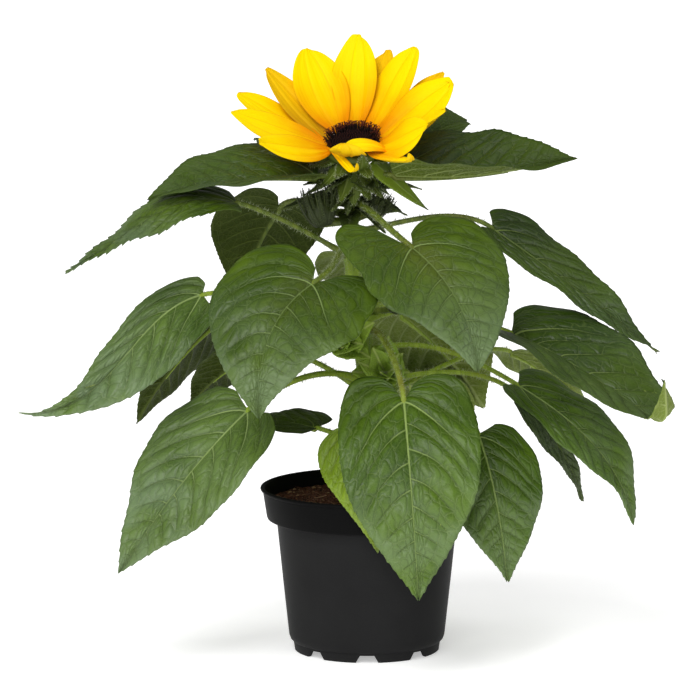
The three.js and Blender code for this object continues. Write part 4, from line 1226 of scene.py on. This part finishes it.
def open_floret():
    """A tube with a flared mouth, and two arms that curl back out of it."""
    points, faces = floret_tube([(0.4, -0.4), (0.46, 1.6), (0.42, 2.6), (0.6, 3.2), (0.25, 3.0)])
    arm = np.array([(0.05, 0, 2.6), (0.12, 0, 4.0), (0.6, 0, 4.9), (1.15, 0, 4.8), (1.25, 0, 4.2)])
    for side in (1, -1):
        line, rounds, _ = tube(arm * [side, 1, 1], (0.2, 0.22, 0.2, 0.17, 0.08), 3)
        faces += [group + len(points) for group in rounds]
        points = np.concatenate([points, line])
    return points, faces


CLOSED_FLORET = floret_tube([(0.44, -0.4), (0.52, 0.7), (0.5, 1.3), (0.32, 1.9), (0.05, 2.3)])
OPEN_FLORET = open_floret()
disc = Heap()
turns = np.linspace(0, 360, DISC_SIDES, endpoint=False)
disc.add([[head_point(r, t, h) for t in turns] for r, h in DISC], capped(len(DISC), DISC_SIDES))
draw = np.random.default_rng(17)
for floret in range(FLORETS["count"]):
    radius = FLORETS["reach"] * math.sqrt((floret + 0.5) / FLORETS["count"])
    turn = floret * FLORETS["turn"]
    height = np.interp(radius, (0, 5, 10, 13.4, 14.4), (1.8, 2.2, 2.9, 2.2, 1.2))
    lean = math.radians(34) * (radius / FLORETS["reach"]) ** 3 + draw.normal(0, 0.08)
    out = head_out(turn)
    up = head_axis * math.cos(lean) + out * math.sin(lean)
    across = unit(np.cross(up, head_out(draw.uniform(0, 360)) + head_axis * 0.01))
    third = np.cross(up, across)
    back = smooth(math.sin(math.radians(turn)), -0.6, 0.5)
    opened = radius > FLORETS["open_past"] + 3.5 * (1 - back) + draw.uniform(-1.5, 1.5)
    shape, faces = OPEN_FLORET if opened else CLOSED_FLORET
    local = shape * (draw.uniform(0.8, 1.0) * (1 + 0.12 * back * opened))
    place = head_point(radius, turn, height)
    points = place + local[:, :1] * across + local[:, 1:2] * third + local[:, 2:] * up
    tint = smooth(shape[:, 2], 3.3, 4.4) if opened else 0.35 * smooth(shape[:, 2], 1.4, 2.3)
    none = 0 * tint
    disc.add(points, faces, np.stack([none, tint * (0.3 + 0.7 * back), none, none], -1))
disc.mesh("flower_disc", [disc_material], ["disc"], "disc")


# The petals are long thin yellow blades set around the disc in two whorls, pleated lengthwise
# and orange at the foot. Most stand up and out, and a few in front are narrow, folded or curled.

PETAL_OUTLINE = [
    (0.05, -0.03), (0.28, 0.02), (0.52, 0.12), (0.78, 0.26), (0.97, 0.43), (1.0, 0.58),
    (0.88, 0.73), (0.66, 0.85), (0.42, 0.935), (0.2, 0.98), (0.02, 1),
]
WHORL = {"inner": (15.2, 0.8), "outer": (16.6, -2.6)}
PETALS = [
    dict(turn=12, rise=33, length=52, width=(14, 14), roll=22, ragged=3.5),
    dict(turn=49, rise=40, length=55, width=(12, 15)),
    dict(turn=83, rise=45, length=56, width=(11, 15)),
    dict(turn=116, rise=42, length=53, width=(15, 16)),
    dict(turn=160, rise=28, length=57, width=11, whorl="outer"),
    dict(turn=178, rise=24, length=56, width=(10, 12), roll=-15),
    dict(turn=210, rise=24, length=47, width=10, roll=-28),
    dict(base=(-22, -8, 286), tip=(-4, -29, 270), face=(-60, 50), width=3, bow=(2, 1),
         curl=(0.68, 125)),
    dict(turn=262, rise=42, length=13, width=(10, 11), curl=(0.3, 70), fold=0, bow=(0, 0),
         droop=0),
    dict(base=(12, -15, 284), tip=(-14, -19, 287), face=(-100, 58), width=(5, 5), bow=(6, 4),
         fold=10, twist=-25, droop=1),
    dict(turn=305, rise=16, length=48, width=5, curl=(0.84, 100)),
    dict(turn=328, rise=33, length=42, width=(14, 12), roll=32, ragged=2),
    dict(turn=353, rise=34, length=44, width=10, whorl="outer", ragged=2.5),
    dict(turn=34, rise=30, length=53, width=10, whorl="outer", tone="gold"),
    dict(turn=69, rise=37, length=53, width=11, whorl="outer", tone="gold"),
    dict(turn=99, rise=32, length=41, width=9, whorl="outer", tone="gold"),
    dict(turn=141, rise=37, length=55, width=(10, 9), whorl="outer", tone="gold"),
]


def petal_skin(name, foot, body, lines_and_groove_shade):
    """Silky petal skin: an orange foot, fine darker lines along it and at the rims, and painted
    shade in the pleat grooves.
    """
    skin = Surface(name, Specular_IOR_Level=0.08)
    share, row = skin.split(skin.map("veins"))[:2]
    place = skin.place()
    lines = skin.noise(skin.joined(share * 16.0, row * 1.5), 1.0, 3.0)
    cloud = skin.noise(place, 60.0, 2.0)
    fade = skin.step(row + 0.2 * (cloud - 0.5) + 0.14 * lines - 0.18 * abs(share), 0.62, 0.04)
    groove = skin.step(abs(abs(share) - 0.36 + 0.08 * row), 0.05, 0.0) * skin.step(row, 0.95, 0.6)
    rim = skin.step(abs(share), 0.93, 1.0)
    colour = skin.mix(fade, body, foot)
    # Painted shade: the darker tone goes into the pleat grooves, as well as on the fine lines and
    # rims.
    lines_and_groove_shade_mask = skin.step(lines, 0.5, 0.8) * 0.25 + groove * 0.35 + rim * 0.3
    colour = skin.mix(lines_and_groove_shade_mask, colour, lines_and_groove_shade)
    return skin.finish(colour, 0.48 + 0.1 * lines, lines, 0.00022)


PETAL_SKINS = {
    "bright": [
        petal_skin("petal_bright", (0.80, 0.25, 0.0), (1.0, 0.74, 0.0), (0.88, 0.38, 0.0)),
        petal_skin("petal_back", (0.62, 0.36, 0.010), (0.90, 0.58, 0.004), (0.72, 0.38, 0.006)),
    ],
    # The gold copies are darker and more golden, for the outer petals at the back; their darkness is
    # painted shade.
    "gold": [
        petal_skin("petal_gold", (0.60, 0.26, 0.006), (0.86, 0.54, 0.003), (0.62, 0.30, 0.006)),
        petal_skin("petal_gold_back", (0.52, 0.27, 0.01), (0.76, 0.46, 0.004), (0.55, 0.27, 0.01)),
    ],
}

for order, petal in enumerate(PETALS):
    petal = dict(petal)
    draw = np.random.default_rng(400 + order)
    tone, torn = petal.pop("tone", "bright"), petal.pop("ragged", 1)
    if "tip" in petal:
        blade = Blade(**petal)
    else:
        looks = {"bow": (-4, -2), "roll": -6, "fold": 8, "droop": -1, **petal}
        turn, rise, length, width = (looks.pop(key) for key in ("turn", "rise", "length", "width"))
        radius, height = WHORL[looks.pop("whorl", "inner")]
        blade = head_blade(head_point(radius, turn, height), turn, rise, length, width, **looks)
    phase = draw.uniform(0, 2 * np.pi, 5)
    skewed = draw.uniform(-0.05, 0.05)
    thin = min(1.0, blade.width[0] / 9)

    def pleated(row, share):
        groove = np.exp(-(((np.abs(share) - 0.36 + 0.08 * row) / 0.075) ** 2))
        body = smooth(row, 0.02, 0.2) * (1 - smooth(row, 0.85, 1))
        wave = np.sin(7 * row + phase[0]) * 0.8 + np.sin(15 * row + phase[1] + 2 * share) * 0.35
        above = -0.65 * groove * body + 0.25 * np.cos(9 * share + phase[2]) * body
        above = above + wave * share**2 * np.sign(share + 0.01) * 0.7
        ragged = np.sin(6 * share + phase[3]) + 0.6 * np.sin(14 * share + phase[4])
        shift = (0.4 * torn * ragged + 40 * skewed * share) * smooth(row, 0.6, 0.9)
        shift = shift * (1 - smooth(row, 0.93 if torn < 2 else 0.985, 1))
        return above * thin, shift * thin

    heap = Heap()
    add_plate(heap, blade, PETAL_OUTLINE, pleated, rows=72, columns=14, thick=0.55, skins=(0, 1, 1))
    heap.mesh(f"ray_{order + 1}", PETAL_SKINS[tone], [f"petal_{order + 1}"], "petal")


# The studio is a wide sheet of white paper under soft light: a large key from the upper left, a
# broad one in front that gives the leaves their sheen, and one from behind that lifts the edges.

bpy.ops.object.select_all(action="DESELECT")
bpy.ops.mesh.primitive_plane_add(size=16)
paper = bpy.context.object
paper.name = "paper"
paper_skin = Surface("paper_skin", Specular_IOR_Level=0.0, Emission_Strength=0.42)
paper.data.materials.append(paper_skin.finish((0.93, 0.93, 0.93), 0.9))
paper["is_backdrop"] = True

scene = bpy.context.scene
scene.view_settings.view_transform = "Standard"
world = bpy.data.worlds.new("studio")
scene.world = world
world.use_nodes = True
world.node_tree.nodes["Background"].inputs["Color"].default_value = (1, 1, 1, 1)
world.node_tree.nodes["Background"].inputs["Strength"].default_value = 0.24

LIGHTS = {
    "key": {"azimuth": -118, "elevation": 52, "spread": 30, "strength": 1.5, "sheen": False},
    "front": {"azimuth": -102, "elevation": 24, "spread": 26, "strength": 1.05, "sheen": True},
    "rim": {"azimuth": 70, "elevation": 66, "spread": 50, "strength": 0.8, "sheen": False},
}
for name, light in LIGHTS.items():
    lamp = bpy.data.objects.new(name, bpy.data.lights.new(name, "SUN"))
    scene.collection.objects.link(lamp)
    lamp.data.energy = light["strength"]
    lamp.data.angle = math.radians(light["spread"])
    lamp.visible_glossy = light["sheen"]
    towards = -heading(light["azimuth"], light["elevation"])
    lamp.rotation_euler = Vector(towards).to_track_quat("-Z", "Y").to_euler()

CAMERA = {"distance": 3.0, "elevation": 8.9, "aim": (-0.01065, 0, 0.1717), "lens": 276.75}
camera = bpy.data.objects.new("camera", bpy.data.cameras.new("camera"))
scene.collection.objects.link(camera)
camera.data.lens = CAMERA["lens"]
camera.data.clip_end = 100
camera.location = np.array(CAMERA["aim"]) + heading(-90, CAMERA["elevation"]) * CAMERA["distance"]
camera.rotation_euler = (math.radians(90 - CAMERA["elevation"]), 0, 0)
scene.camera = camera

low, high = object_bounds()
sizes = {"cad": [list(cad_low), list(cad_high)], "visual": [list(low), list(high)]}
